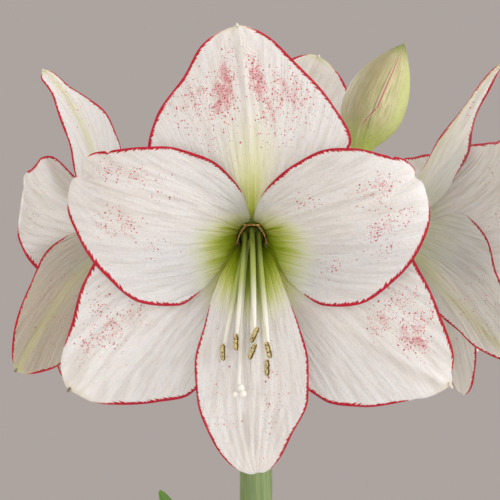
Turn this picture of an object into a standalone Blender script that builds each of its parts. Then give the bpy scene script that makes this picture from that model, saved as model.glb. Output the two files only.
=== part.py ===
"""A potted amaryllis in flower: pot, soil, bulb, leaves, and a scape with four blooms and a bud.

Sizes are in millimetres and are turned into metres where a mesh is made. +Z is up, the origin is the
middle of the pot's underside, and the front bloom faces -Y.
"""

import math
from dataclasses import dataclass, replace

import bpy
import numpy as np
from mathutils import Vector, noise

MM = 0.001
GAP = 0.3

# Pot, soil and bulb
POT_HEIGHT = 130.0
POT_BASE_RADIUS = 51.0
POT_BODY_RADIUS = 71.0
POT_RIM_RADIUS = 77.0
POT_RIM_HEIGHT = 24.0
POT_WALL = 5.5
POT_FLOOR = 7.0
POT_SIDES = 36
DRAIN_RADIUS = 5.0
DRAIN_RING = 28.0
SOIL_TOP = 114.0
SOIL_BUMP = 1.6
SOIL_CLOD = 14.0
BULB_BOTTOM = 72.0
BULB_WAIST = 110.0
BULB_RADIUS = 41.0
BULB_SIDES = 28
NECK_RADIUS = 24.0
NECK_TOP = 166.0

# Flower stalk
BLOOM_ROW = 520.0
UMBEL_DROP = 42.0
SCAPE_RADIUS = 9.4
SCAPE_FOOT_RADIUS = 10.6
UMBEL_RADIUS = 12.6
SOCKET_DEPTH = 12.0
PEDICEL_RADIUS = 3.7
PEDICEL_RING = 8.3
OVARY_RADIUS = 6.6
OVARY_LENGTH = 15.0
TUBE_LENGTH = 25.0
TUBE_RIM_RADIUS = 10.6
TUBE_RIM_DROP = 0.5
WELL_RADIUS = 6.9
WELL_DEPTH = 7.0
SEPAL_RING = 9.6
PETAL_RING = 7.9

# Blades: tepals, leaves and bracts
TEPAL_THICKNESS = 0.7
LEAF_THICKNESS = 2.0
BRACT_THICKNESS = 0.7
TIP_HALF_WIDTH = 1.0
ROWS_CROWDED_TO_TIP = 1.35
MIDRIB_STEPS = 160

# Stamens and pistil
STAMEN_RING_RADIUS = 6.2
STAMEN_RING_HOLE = 2.5
STAMEN_RING_HEIGHT = 3.0
FILAMENT_CIRCLE = 4.5
FILAMENT_RADIUS = 0.95
ANTHER_LENGTH = 8.4
ANTHER_RADIUS = 1.5
STYLE_RADIUS = 0.85
STIGMA_RADIUS = 1.7


@dataclass(frozen=True)
class Blade:
    """A tepal, leaf or bract, which starts on a ring round the flower's or the plant's axis.

    direction turns it round that axis, in degrees, anticlockwise as seen from the axis's end. tilt holds
    pairs of share of length and degrees that the midrib leans away from the axis. edge holds share of
    length and the half widths on the anticlockwise and on the clockwise side. sway and bow bend the
    midrib sideways, in degrees. cup holds share of length and how strongly the blade curves across, in
    1/m, and curl lifts its two edges, in millimetres.
    """

    direction: float
    length: float
    tilt: tuple
    edge: tuple
    ring: float
    sway: float = 0.0
    bow: float = 0.0
    cup: tuple = ((0, 0), (1, 0))
    curl: tuple = (0.0, 0.0)
    wrap: float = 0.35
    blunt: float = 2.0


@dataclass(frozen=True)
class Bloom:
    """A bloom's throat, from the scape's axis and the bloom row, and how the bloom turns.

    azimuth turns the bloom round the scape from facing -Y, roll turns it round its own axis, pedicel is
    where its pedicel stands round the top of the scape, and reach is how far its pistil has grown.
    """

    name: str
    throat: tuple
    azimuth: float
    roll: float
    pedicel: float
    reach: float
    blades: dict


SEPAL_TILT = ((0, 24), (0.25, 56), (0.5, 78), (1, 104))
PETAL_TILT = ((0, 12), (0.2, 32), (0.4, 58), (0.65, 82), (1, 118))
LIP_TILT = ((0, 12), (0.25, 42), (0.5, 70), (1, 104))
SIDE_SEPAL_TILT = ((0, 22), (0.25, 56), (0.5, 72), (1, 72))
SIDE_PETAL_TILT = ((0, 14), (0.3, 50), (0.65, 82), (1, 118))
SIDE_LIP_TILT = ((0, 12), (0.25, 42), (0.5, 64), (1, 84))
PETAL_CUP = ((0, 0), (0.3, 8), (0.6, 5), (1, -3))
LIP_CUP = ((0, 0), (0.4, 8), (1, 8))

FRONT_BLADES = {
    "sepal_top": Blade(
        90, 110, SEPAL_TILT, ring=SEPAL_RING, sway=4,
        edge=((0, 9.2, 9.2), (0.15, 15, 15), (0.3, 36, 36), (0.44, 52, 51.5), (0.6, 47, 43),
              (0.8, 30, 26), (0.93, 20, 14.5), (0.975, 12.5, 8), (1, 0, 0)),
    ),
    "petal_left": Blade(
        150, 110, PETAL_TILT, ring=PETAL_RING, sway=12, bow=8, cup=PETAL_CUP, curl=(4, 0),
        edge=((0, 7.4, 6.6), (0.12, 12, 13), (0.26, 31, 22.5), (0.42, 46, 30), (0.56, 48.5, 31),
              (0.72, 39, 27), (0.88, 24, 19.8), (0.96, 15.5, 15), (1, 0, 0)),
    ),
    "petal_right": Blade(
        30, 104, PETAL_TILT, ring=PETAL_RING, sway=-11, bow=-8, cup=PETAL_CUP, curl=(0, 4),
        edge=((0, 6.6, 7.4), (0.12, 13, 12), (0.26, 20.8, 32), (0.42, 27.5, 46), (0.56, 30.5, 49),
              (0.72, 27, 41.5), (0.88, 17.8, 28.5), (0.96, 12.5, 19), (1, 0, 0)),
    ),
    "sepal_left": Blade(
        210, 125, SEPAL_TILT, ring=SEPAL_RING, sway=10,
        edge=((0, 9.2, 9.2), (0.15, 16, 16), (0.3, 34, 32), (0.5, 48, 37), (0.65, 47.5, 31),
              (0.8, 38, 20), (0.93, 23.5, 12), (0.985, 13, 5.2), (1, 0, 0)),
    ),
    "sepal_right": Blade(
        330, 130, SEPAL_TILT, ring=SEPAL_RING, sway=-7,
        edge=((0, 9.2, 9.2), (0.15, 16, 16), (0.3, 32, 34), (0.5, 38, 50), (0.65, 31, 49),
              (0.8, 21, 39), (0.93, 11.6, 20), (0.975, 4.5, 12), (1, 0, 0)),
    ),
    "petal_bottom": Blade(
        270, 135.5, LIP_TILT, ring=PETAL_RING, sway=1, cup=LIP_CUP,
        edge=((0, 7.4, 7.4), (0.12, 11, 11), (0.3, 16.5, 19), (0.45, 23, 24), (0.6, 27.5, 29),
              (0.72, 27, 28), (0.85, 18.5, 22), (0.95, 11, 13.5), (1, 0, 0)),
    ),
}

LEFT_BLADES = FRONT_BLADES | {
    "sepal_top": replace(
        FRONT_BLADES["sepal_top"], length=105, sway=-2, blunt=2.2,
        tilt=((0, 22), (0.2, 62), (0.4, 78), (0.7, 66), (1, 48)),
        edge=((0, 9.2, 9.2), (0.15, 15, 15), (0.3, 32, 27), (0.45, 44, 30), (0.6, 39, 27),
              (0.75, 24, 20.5), (0.86, 12, 16), (0.94, 7.5, 15), (1, 0, 0)),
    ),
    "petal_right": replace(
        FRONT_BLADES["petal_right"], length=96, tilt=SIDE_PETAL_TILT, sway=3, bow=0,
        edge=((0, 6.6, 7.4), (0.12, 13, 12), (0.26, 20.5, 29), (0.42, 27.5, 37), (0.56, 32, 34),
              (0.7, 26, 30), (0.8, 17, 27.5), (0.88, 10, 20), (0.94, 6.5, 8.5), (0.975, 4, 6.5), (1, 0, 0)),
    ),
    "petal_bottom": replace(FRONT_BLADES["petal_bottom"], length=104, tilt=SIDE_LIP_TILT),
    "sepal_right": replace(
        FRONT_BLADES["sepal_right"], length=105, tilt=SIDE_SEPAL_TILT, sway=-10,
        edge=((0, 9.2, 9.2), (0.15, 16, 16), (0.3, 29, 32), (0.5, 33, 42), (0.65, 30, 42),
              (0.8, 23, 34), (0.93, 14, 20), (1, 0, 0)),
    ),
    "sepal_left": replace(
        FRONT_BLADES["sepal_left"], length=100, sway=2,
        tilt=((0, 22), (0.25, 50), (0.5, 60), (1, 60)),
    ),
}

RIGHT_BLADES = FRONT_BLADES | {
    "sepal_top": replace(
        FRONT_BLADES["sepal_top"], length=116, sway=0,
        tilt=((0, 22), (0.25, 56), (0.6, 62), (1, 56)),
        edge=((0, 9.2, 9.2), (0.15, 16, 15), (0.3, 28, 23), (0.45, 25, 22), (0.6, 15.5, 18),
              (0.75, 9, 13.5), (0.9, 5, 8), (1, 0, 0)),
    ),
    "petal_left": replace(
        FRONT_BLADES["petal_left"], length=98, sway=-7, bow=0,
        tilt=((0, 14), (0.3, 48), (0.65, 78), (1, 112)),
        edge=((0, 7.4, 6.6), (0.12, 12, 13), (0.26, 31, 24), (0.42, 46, 36), (0.52, 48.5, 39),
              (0.72, 39, 30), (0.88, 24, 19.8), (0.96, 15.5, 15), (1, 0, 0)),
    ),
    "petal_bottom": replace(
        FRONT_BLADES["petal_bottom"], length=112, tilt=((0, 12), (0.25, 46), (0.5, 72), (1, 76)),
    ),
    "sepal_left": replace(
        FRONT_BLADES["sepal_left"], length=108, sway=8,
        tilt=((0, 22), (0.25, 54), (0.5, 68), (1, 74)),
        edge=((0, 9.2, 9.2), (0.15, 15, 22), (0.23, 21, 34), (0.32, 28, 39), (0.45, 32, 36), (0.6, 31, 25),
              (0.8, 23, 16), (0.93, 13, 11), (1, 0, 0)),
    ),
}

BACK_BLADES = FRONT_BLADES | {
    "sepal_top": replace(
        FRONT_BLADES["sepal_top"], length=119,
        edge=((0, 9.2, 9.2), (0.15, 15, 15), (0.3, 36, 36), (0.45, 52, 51), (0.6, 49, 43),
              (0.8, 36, 26), (0.93, 23, 15), (1, 0, 0)),
    ),
    "sepal_right": replace(
        FRONT_BLADES["sepal_right"], length=100, sway=2,
        tilt=((0, 22), (0.25, 48), (0.5, 58), (1, 62)),
    ),
    "petal_right": replace(
        FRONT_BLADES["petal_right"], length=100, tilt=((0, 12), (0.2, 30), (0.4, 44), (0.65, 52), (1, 70)),
    ),
}

BLOOMS = (
    Bloom("front", (-2.5, -85, 7), 0, 0, 0, 1.0, FRONT_BLADES),
    Bloom("left", (-72.5, 24, 10), -108, -12, -77, 0.94, LEFT_BLADES),
    Bloom("right", (80.5, 18, 10), 108, 8, 75, 0.9, RIGHT_BLADES),
    Bloom("back", (0.5, 85, 20), 180, 17, 205, 1.0, BACK_BLADES),
)

# Each filament's foot on its circle in degrees, its anther's place right of, above and in front of the
# throat, and the anther's lean from upright in degrees
ANTHERS = (
    (210, (-14.2, -57.0, 57.5), 2),
    (150, (-7.8, -52.0, 59.0), 2),
    (90, (1.2, -48.5, 58.5), -25),
    (270, (0.2, -56.5, 59.0), -22),
    (30, (8.0, -55.8, 60.0), 14),
    (330, (7.4, -64.5, 60.0), 0),
)
STIGMA = (-6.8, -75.0, 62.5)

# Bud: the middle line of its perianth, from the scape's axis and the bloom row
BUD_LINE = ((62.5, 20, 57), (64.5, 20, 77), (76, 20, 99), (88, 20, 122))
BUD_SHARES = (0, 0.05, 0.12, 0.22, 0.34, 0.46, 0.58, 0.7, 0.81, 0.9, 0.96, 1)
BUD_RADII = (5.6, 6.6, 9.6, 14.2, 17.8, 18.9, 18.2, 15.8, 11.8, 7.2, 3.8, 0.9)
BUD_LOBE = 0.06
BUD_PEDICEL = 141

LEAF_EDGE = (
    (0, 8.5, 8.5), (0.12, 11, 11), (0.35, 19, 19), (0.6, 21, 21),
    (0.82, 15, 15), (0.95, 7.5, 7.5), (1, 0, 0),
)
LEAF_CUP = ((0, 30), (1, 20))
LEAF_RING = 17.5
LEAVES = (
    Blade(150, 217, ((0, 2), (0.5, 10), (1, 34)), LEAF_EDGE, LEAF_RING, cup=LEAF_CUP),
    Blade(215, 292, ((0, 8), (0.35, 30), (0.7, 80), (1, 128)), LEAF_EDGE, LEAF_RING, cup=LEAF_CUP),
    Blade(350, 270, ((0, 8), (0.35, 32), (0.7, 78), (1, 120)), LEAF_EDGE, LEAF_RING, cup=LEAF_CUP),
    Blade(60, 250, ((0, 6), (0.4, 26), (0.75, 62), (1, 100)), LEAF_EDGE, LEAF_RING, cup=LEAF_CUP),
    Blade(282, 200, ((0, 9), (0.4, 34), (0.75, 72), (1, 112)), LEAF_EDGE, LEAF_RING, cup=LEAF_CUP),
)
BRACT_EDGE = ((0, 8, 8), (0.3, 10, 10), (0.7, 6, 6), (1, 0, 0))
BRACT_RING = 13.0
BRACTS = (
    Blade(232, 72, ((0, 80), (0.2, 150), (0.7, 172), (1, 168)), BRACT_EDGE, BRACT_RING, wrap=0.9),
    Blade(128, 64, ((0, 80), (0.2, 152), (0.7, 174), (1, 165)), BRACT_EDGE, BRACT_RING, wrap=0.9),
)


def clear_scene():
    for obj in list(bpy.data.objects):
        bpy.data.objects.remove(obj, do_unlink=True)


def material(name, colour, roughness):
    made = bpy.data.materials.new(name)
    made.use_nodes = True
    shader = made.node_tree.nodes["Principled BSDF"]
    shader.inputs["Base Color"].default_value = (*colour, 1)
    shader.inputs["Roughness"].default_value = roughness
    shader.inputs["Metallic"].default_value = 0
    return made


def place(obj, location=(0, 0, 0), turn=(0, 0, 0), parent=None):
    """Puts an object at a location in millimetres, turned in degrees round X, Y and Z."""
    obj.location = Vector(location) * MM
    obj.rotation_euler = [math.radians(angle) for angle in turn]
    obj.parent = parent
    return obj


def add_mesh(name, points, faces, look=None):
    """A smooth mesh object from points in millimetres."""
    mesh = bpy.data.meshes.new(name)
    mesh.from_pydata([tuple(float(c) * MM for c in p) for p in points], [], faces)
    if look:
        mesh.materials.append(material(name, *look))
    mesh.shade_smooth()
    mesh.set_sharp_from_angle(angle=math.radians(40))
    obj = bpy.data.objects.new(name, mesh)
    bpy.context.scene.collection.objects.link(obj)
    return obj


def eased(share, knots, column=1):
    """A smooth curve through the knots that never overshoots them."""
    at = np.array([knot[0] for knot in knots], float)
    value = np.array([knot[column] for knot in knots], float)
    share = np.clip(np.asarray(share, float), at[0], at[-1])
    span = np.clip(np.searchsorted(at, share, side="right") - 1, 0, len(at) - 2)
    rise = np.diff(value) / np.diff(at)
    slope = np.concatenate([rise[:1], np.zeros(len(at) - 2), rise[-1:]])
    for k in range(1, len(at) - 1):
        before, after = rise[k - 1], rise[k]
        if before * after > 0:
            slope[k] = 2 * before * after / (before + after)
    width = at[span + 1] - at[span]
    f = (share - at[span]) / width
    return (
        (2 * f**3 - 3 * f**2 + 1) * value[span]
        + (f**3 - 2 * f**2 + f) * width * slope[span]
        + (3 * f**2 - 2 * f**3) * value[span + 1]
        + (f**3 - f**2) * width * slope[span + 1]
    )


def unit(vectors):
    return vectors / np.linalg.norm(vectors, axis=-1, keepdims=True)


def half_widths(blade, share):
    """Half widths of the blade on its anticlockwise and its clockwise side."""
    widths = []
    for column in (1, 2):
        knots = tuple((knot[0], knot[column] ** blade.blunt) for knot in blade.edge)
        power = np.maximum(eased(share, knots), TIP_HALF_WIDTH**blade.blunt)
        widths.append(power ** (1 / blade.blunt))
    return widths


def summed(values, step):
    """Running total of the values along the midrib, from zero."""
    return np.concatenate([[0], np.cumsum(values[1:] + values[:-1])]) * step / 2


def blade_midrib(blade):
    """Share of length, distance from the axis and points of the midrib, and its inward side."""
    along = np.linspace(0, 1, MIDRIB_STEPS)
    tilt = np.radians(eased(along, blade.tilt))
    step = blade.length / (MIDRIB_STEPS - 1)
    out = blade.ring + summed(np.sin(tilt), step)
    turn = np.radians(blade.sway * along**1.5 + blade.bow * np.sin(np.pi * along))
    outward = np.stack([np.cos(turn), np.sin(turn), 0 * turn], 1)
    axis = np.array([0, 0, 1.0])
    midrib = outward * out[:, None] + axis * summed(np.cos(tilt), step)[:, None]
    forward = unit(np.gradient(midrib, axis=0))
    inward = np.sin(tilt)[:, None] * axis - np.cos(tilt)[:, None] * outward
    inward = unit(inward - (inward * forward).sum(1)[:, None] * forward)
    return along, out, midrib, inward, np.cross(inward, forward)


def blade_grid(blade, rows, columns):
    """Points of the blade's middle surface, rows from foot to tip and columns across."""
    along, out, midrib, inward, across = blade_midrib(blade)
    share = 1 - (1 - np.linspace(0, 1, rows)) ** ROWS_CROWDED_TO_TIP

    def at_rows(values):
        return np.stack([np.interp(share, along, values[:, k]) for k in range(3)], 1)

    v = np.linspace(-1, 1, columns)[None, :]
    anticlockwise, clockwise = half_widths(blade, share)
    x = np.where(v > 0, anticlockwise[:, None], clockwise[:, None]) * v
    # The foot wraps round the axis, and the rest follows the blade's own cup.
    wrap = np.clip(1 - share / blade.wrap, 0, 1) ** 1.5
    bend = wrap / np.interp(share, along, out) + (1 - wrap) * eased(share, blade.cup) / 1000
    bend = np.where(np.abs(bend) < 1e-6, 1e-6, bend)[:, None]
    side = np.sin(bend * x) / bend
    grown = (np.clip(share / 0.3, 0, 1) * (1 - share**4))[:, None]
    curl = np.where(v > 0, blade.curl[0], blade.curl[1]) * np.abs(v) ** 3 * grown
    rise = (1 - np.cos(bend * x)) / bend + curl
    centre, inward, across = at_rows(midrib), unit(at_rows(inward)), unit(at_rows(across))
    return centre[:, None] + across[:, None] * side[..., None] + inward[:, None] * rise[..., None]


def add_blade(name, blade, thickness, look, rows, columns):
    """The blade as a solid: its middle surface in triangles, with thickness on both sides."""
    faces = []
    for i in range(rows - 1):
        for j in range(columns - 1):
            a, b = i * columns + j, i * columns + j + 1
            c, d = b + columns, a + columns
            if (j < columns // 2) == (i % 2 == 0):
                faces += [(a, b, c), (a, c, d)]
            else:
                faces += [(a, b, d), (b, c, d)]
    obj = add_mesh(name, blade_grid(blade, rows, columns).reshape(-1, 3), faces, look)
    solid = obj.modifiers.new("Thickness", "SOLIDIFY")
    solid.thickness = thickness * MM
    solid.offset = 0
    return obj


def bezier(p0, p1, p2, p3, shares):
    u = np.asarray(shares, float)[:, None]
    p0, p1, p2, p3 = (np.asarray(p, float) for p in (p0, p1, p2, p3))
    return (1 - u) ** 3 * p0 + 3 * (1 - u) ** 2 * u * p1 + 3 * (1 - u) * u**2 * p2 + u**3 * p3


def tube_rings(path, radii, sides, lobes=None):
    """Rings of points round a path, with three lobes where lobes holds a share of the radius."""
    path = np.asarray(path, float)
    tangent = unit(np.gradient(path, axis=0))
    side = np.cross(tangent[0], (0, 0, 1.0))
    if np.linalg.norm(side) < 0.1:
        side = np.cross(tangent[0], (0, 1.0, 0))
    lobes = lobes or [0.0] * len(path)
    rings = []
    angle = np.arange(sides) * 2 * math.pi / sides
    for k, centre in enumerate(path):
        side = unit(side - (side @ tangent[k]) * tangent[k])
        other = np.cross(tangent[k], side)
        radius = radii[k] * (1 + lobes[k] * np.cos(3 * angle))
        turned = np.outer(np.cos(angle), side) + np.outer(np.sin(angle), other)
        rings.append(centre + turned * radius[:, None])
    return rings


def tube_faces(count, sides):
    faces = [tuple(range(sides))[::-1]]
    for k in range(count - 1):
        for j in range(sides):
            a, b = k * sides + j, k * sides + (j + 1) % sides
            faces.append((a, b, b + sides, a + sides))
    faces.append(tuple(range((count - 1) * sides, count * sides)))
    return faces


def add_tube(name, path, radii, sides, look=None, lobes=None):
    rings = tube_rings(path, radii, sides, lobes)
    return add_mesh(name, np.concatenate(rings), tube_faces(len(rings), sides), look)


def add_turned(name, profile, sides, look=None):
    """A turned solid from a profile of (radius, height) that starts and ends on the axis."""
    points = [(0, 0, profile[0][1])]
    for radius, height in profile[1:-1]:
        for j in range(sides):
            angle = 2 * math.pi * j / sides
            points.append((radius * math.cos(angle), radius * math.sin(angle), height))
    points.append((0, 0, profile[-1][1]))
    last = len(points) - 1
    faces = []
    for j in range(sides):
        after = (j + 1) % sides
        faces.append((0, 1 + after, 1 + j))
        faces.append((last, last - sides + j, last - sides + after))
        for k in range(len(profile) - 3):
            a, b = 1 + k * sides + j, 1 + k * sides + after
            faces.append((a, b, b + sides, a + sides))
    return add_mesh(name, points, faces, look)


def cut(target, cutter):
    """Cuts the cutter from the target and leaves it out of the model."""
    cutter.hide_render = True
    cutter.display_type = "WIRE"
    modifier = target.modifiers.new("Cut", "BOOLEAN")
    modifier.operation = "DIFFERENCE"
    modifier.solver = "EXACT"
    modifier.object = cutter


def join(target, pieces):
    """Joins the pieces to the target as one body, and removes them."""
    group = bpy.data.collections.new(target.name + "_pieces")
    bpy.context.scene.collection.children.link(group)
    for piece in pieces:
        bpy.context.scene.collection.objects.unlink(piece)
        group.objects.link(piece)
    modifier = target.modifiers.new("Join", "BOOLEAN")
    modifier.operation = "UNION"
    modifier.solver = "EXACT"
    modifier.operand_type = "COLLECTION"
    modifier.collection = group
    graph = bpy.context.evaluated_depsgraph_get()
    joined = bpy.data.meshes.new_from_object(target.evaluated_get(graph))
    target.modifiers.clear()
    target.data = joined
    for piece in pieces:
        bpy.data.objects.remove(piece, do_unlink=True)
    bpy.data.collections.remove(group)


def pot_inner_radius(height):
    share = (height - POT_FLOOR) / (POT_HEIGHT - POT_FLOOR)
    return POT_BASE_RADIUS - POT_WALL + share * (POT_BODY_RADIUS - POT_BASE_RADIUS)


def make_pot():
    """A tapered pot with a rim band, three drain holes and a flat underside."""
    band = POT_HEIGHT - POT_RIM_HEIGHT
    inner_rim = pot_inner_radius(POT_HEIGHT)
    profile = (
        (0, 0),
        (POT_BASE_RADIUS - 3, 0),
        (POT_BASE_RADIUS, 3),
        (POT_BODY_RADIUS - 1.5, band),
        (POT_RIM_RADIUS - 1.5, band + 1.5),
        (POT_RIM_RADIUS, band + 4),
        (POT_RIM_RADIUS, POT_HEIGHT - 2),
        (POT_RIM_RADIUS - 2, POT_HEIGHT),
        (inner_rim + 2, POT_HEIGHT),
        (inner_rim, POT_HEIGHT - 2),
        (pot_inner_radius(POT_FLOOR), POT_FLOOR),
        (0, POT_FLOOR),
    )
    pot = add_turned("pot", profile, POT_SIDES, ((0.55, 0.26, 0.15), 0.8))
    hole = ((0, -5), (DRAIN_RADIUS, -5), (DRAIN_RADIUS, POT_FLOOR + 5), (0, POT_FLOOR + 5))
    for k in range(3):
        angle = math.radians(35 + 120 * k)
        drain = add_turned(f"drain_{k + 1}", hole, 12)
        place(drain, (DRAIN_RING * math.cos(angle), DRAIN_RING * math.sin(angle), 0))
        cut(pot, drain)


def bulb_profile(grow=0.0):
    """Profile of the bulb, or with grow above 0 of the hollow that it sits in."""
    return (
        (0, BULB_BOTTOM - grow),
        (14 + grow, BULB_BOTTOM - grow),
        (30 + grow, BULB_BOTTOM + 8 - grow),
        (BULB_RADIUS - 2.5 + grow, BULB_WAIST - 14),
        (BULB_RADIUS + grow, BULB_WAIST),
        (BULB_RADIUS - 3 + grow, BULB_WAIST + 14),
        (NECK_RADIUS + 7 + grow, BULB_WAIST + 28),
        (NECK_RADIUS + 1 + grow, NECK_TOP - 16),
        (NECK_RADIUS + grow, NECK_TOP + grow),
        (0, NECK_TOP + grow),
    )


def make_bulb():
    bulb = add_turned("bulb", bulb_profile(), BULB_SIDES, ((0.36, 0.21, 0.11), 0.7))
    radius = SCAPE_FOOT_RADIUS + GAP + 0.2
    foot, top = NECK_TOP - SOCKET_DEPTH, NECK_TOP + 10
    socket = add_turned("scape_socket", ((0, foot), (radius, foot), (radius, top), (0, top)), 20)
    cut(bulb, socket)


def make_soil():
    """Soil that fills the pot, bumpy on top, with the hollow that the bulb sits in."""
    rim = pot_inner_radius(SOIL_TOP) - GAP - 0.4
    profile = [(0, POT_FLOOR + GAP), (pot_inner_radius(POT_FLOOR) - GAP - 0.4, POT_FLOOR + GAP)]
    profile += [(rim, SOIL_TOP - 1.5)] + [(rim * share, SOIL_TOP) for share in (0.9, 0.76, 0.5)]
    soil = add_turned("soil", profile + [(0, SOIL_TOP)], POT_SIDES, ((0.06, 0.04, 0.028), 0.95))
    for vertex in soil.data.vertices:
        if vertex.co.z > (SOIL_TOP - 0.1) * MM:
            bump = noise.noise(Vector((vertex.co.x, vertex.co.y, 0)) / (SOIL_CLOD * MM))
            vertex.co.z += SOIL_BUMP * bump * MM
    cut(soil, add_turned("bulb_hollow", bulb_profile(2 * GAP), BULB_SIDES))


def make_scape():
    """The scape from its socket in the bulb to the widened top that carries the umbel."""
    foot = NECK_TOP - SOCKET_DEPTH + GAP
    top = BLOOM_ROW - UMBEL_DROP
    heights = (foot, foot + 60, foot + 150, top - 26, top - 12, top - 4, top)
    radii = (SCAPE_FOOT_RADIUS, 10.2, 9.8, SCAPE_RADIUS, SCAPE_RADIUS + 0.6, UMBEL_RADIUS, UMBEL_RADIUS)
    profile = [(0, foot), *zip(radii, heights), (0, top)]
    add_turned("scape", profile, 20, ((0.22, 0.32, 0.1), 0.45))


def make_leaves():
    for k, blade in enumerate(LEAVES):
        leaf = add_blade(f"leaf_{k + 1}", blade, LEAF_THICKNESS, ((0.1, 0.22, 0.05), 0.4), 12, 5)
        place(leaf, (0, 0, NECK_TOP + 2 * GAP), (0, 0, blade.direction))


def make_bracts():
    for k, blade in enumerate(BRACTS):
        bract = add_blade(f"bract_{k + 1}", blade, BRACT_THICKNESS, ((0.45, 0.33, 0.2), 0.7), 9, 5)
        place(bract, (0, 0, BLOOM_ROW - UMBEL_DROP - 2.5), (0, 0, blade.direction))


def pedicel_foot(degrees):
    """The foot of a pedicel on top of the scape, as degrees round it from -Y."""
    a = math.radians(degrees)
    return np.array((
        PEDICEL_RING * math.sin(a), -PEDICEL_RING * math.cos(a), BLOOM_ROW - UMBEL_DROP + GAP,
    ))


def pedicel_path(foot, ovary, forward, reach):
    """Up from the foot, and over to the ovary in the bloom's direction."""
    rise = foot + (0, 0, 2)
    curve = bezier(rise, rise + (0, 0, reach), ovary - forward * reach, ovary, np.linspace(0, 1, 7))
    return [foot, *curve]


def make_stalk(bloom):
    """Pedicel, ovary and perianth tube, with the well that holds the stamens and the pistil."""
    azimuth = math.radians(bloom.azimuth)
    forward = np.array((math.sin(azimuth), -math.cos(azimuth), 0))
    foot = pedicel_foot(bloom.pedicel)
    ovary = np.array(bloom.throat) + (0, 0, BLOOM_ROW) - forward * (TUBE_LENGTH + OVARY_LENGTH) - foot
    path = pedicel_path(np.zeros(3), ovary, forward, 0.45 * np.linalg.norm(ovary))
    radii = [PEDICEL_RADIUS] * len(path)
    lobes = [0.0] * len(path)
    rim = TUBE_LENGTH + OVARY_LENGTH - TUBE_RIM_DROP
    for ahead, radius, lobe in (
        (3, 5.2, 0.06), (8, OVARY_RADIUS, 0.1), (13, OVARY_RADIUS - 0.6, 0.08), (17, 4.9, 0.03),
        (24, 5.6, 0.02), (31, 7.6, 0), (36, 9.3, 0), (rim, TUBE_RIM_RADIUS, 0),
    ):
        path.append(ovary + forward * ahead)
        radii.append(radius)
        lobes.append(lobe)
    sides = 12
    rings = tube_rings(path, radii, sides, lobes)
    around = unit(rings[-1] - path[-1])
    rings.append(path[-1] + around * WELL_RADIUS)
    rings.append(path[-1] + around * WELL_RADIUS - forward * WELL_DEPTH)
    look = ((0.3, 0.42, 0.13), 0.4)
    stalk = add_mesh(f"{bloom.name}_stalk", np.concatenate(rings), tube_faces(len(rings), sides), look)
    place(stalk, foot)


def make_tepals(bloom, throat):
    for name, blade in bloom.blades.items():
        tepal = add_blade(f"{bloom.name}_{name}", blade, TEPAL_THICKNESS, ((0.83, 0.79, 0.75), 0.5), 10, 7)
        place(tepal, turn=(0, 0, bloom.roll + blade.direction), parent=throat)


def add_spindle(centre, direction, length, radius, sides):
    """A rounded rod, thickest in the middle."""
    shares = np.array((-0.5, -0.34, 0.0, 0.34, 0.5))
    direction = unit(np.asarray(direction, float))
    path = np.asarray(centre, float) + np.outer(shares * length, direction)
    return add_tube("spindle", path, [radius * share for share in (0.4, 0.85, 1.0, 0.85, 0.4)], sides)


def well_floor():
    return -TUBE_RIM_DROP - WELL_DEPTH


def add_stamen_ring(name, sides):
    """The ring in the tube that the six filaments grow from."""
    bottom = well_floor() + GAP
    top = bottom + STAMEN_RING_HEIGHT
    outline = (
        (STAMEN_RING_HOLE, bottom), (STAMEN_RING_RADIUS, bottom),
        (STAMEN_RING_RADIUS, top), (STAMEN_RING_HOLE, top),
    )
    points = []
    faces = []
    for k, (radius, height) in enumerate(outline):
        for j in range(sides):
            angle = 2 * math.pi * j / sides
            points.append((radius * math.cos(angle), radius * math.sin(angle), height))
            a, b = k * sides + j, k * sides + (j + 1) % sides
            after = (k + 1) % 4 * sides
            faces.append((a, b, after + (j + 1) % sides, after + j))
    return add_mesh(name, points, faces, ((0.75, 0.74, 0.6), 0.5))


def make_stamens(bloom, throat):
    """Six filaments that droop out of the throat, each with its anther."""
    ring = add_stamen_ring(f"{bloom.name}_stamens", 12)
    pieces = []
    for degrees, anther, lean in ANTHERS:
        angle = math.radians(degrees)
        foot = np.array((
            FILAMENT_CIRCLE * math.cos(angle), FILAMENT_CIRCLE * math.sin(angle), well_floor() + 2,
        ))
        anther = np.array(anther)
        beneath = anther * (0.72, 0.52, 1) + foot * (0.28, 0.9, 0) - (0, 0, 14)
        path = bezier(foot, foot + (0, 0.5, 29), beneath, anther, np.linspace(0, 1, 6))
        radii = [FILAMENT_RADIUS] * 5 + [0.5]
        pieces.append(add_tube("filament", path, radii, 5))
        lean = math.radians(lean)
        upright = (-math.sin(lean), math.cos(lean), 0.15)
        pieces.append(add_spindle(anther, upright, ANTHER_LENGTH, ANTHER_RADIUS, 5))
    join(ring, pieces)
    place(ring, turn=(0, 0, bloom.roll), parent=throat)


def make_pistil(bloom, throat):
    """The style, which passes between the two lowest filaments, and its three-lobed stigma."""
    tip = np.array(STIGMA) * bloom.reach
    foot = np.array((0, 0, well_floor() + 2 * GAP))
    path = bezier(foot, (-4.4, -4.6, 29), (-4.6, -38, 46), tip, np.linspace(0, 1, 10))
    style = add_tube(f"{bloom.name}_pistil", path, [STYLE_RADIUS] * 10, 6, ((0.8, 0.8, 0.7), 0.4))
    lobes = []
    for k in range(3):
        angle = math.radians(100 + 120 * k)
        centre = tip + STIGMA_RADIUS * 0.9 * np.array((math.cos(angle), math.sin(angle), 0.1))
        lobes.append(add_spindle(centre, (0, 0, 1), STIGMA_RADIUS * 2, STIGMA_RADIUS, 6))
    join(style, lobes)
    place(style, turn=(0, 0, bloom.roll), parent=throat)


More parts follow.
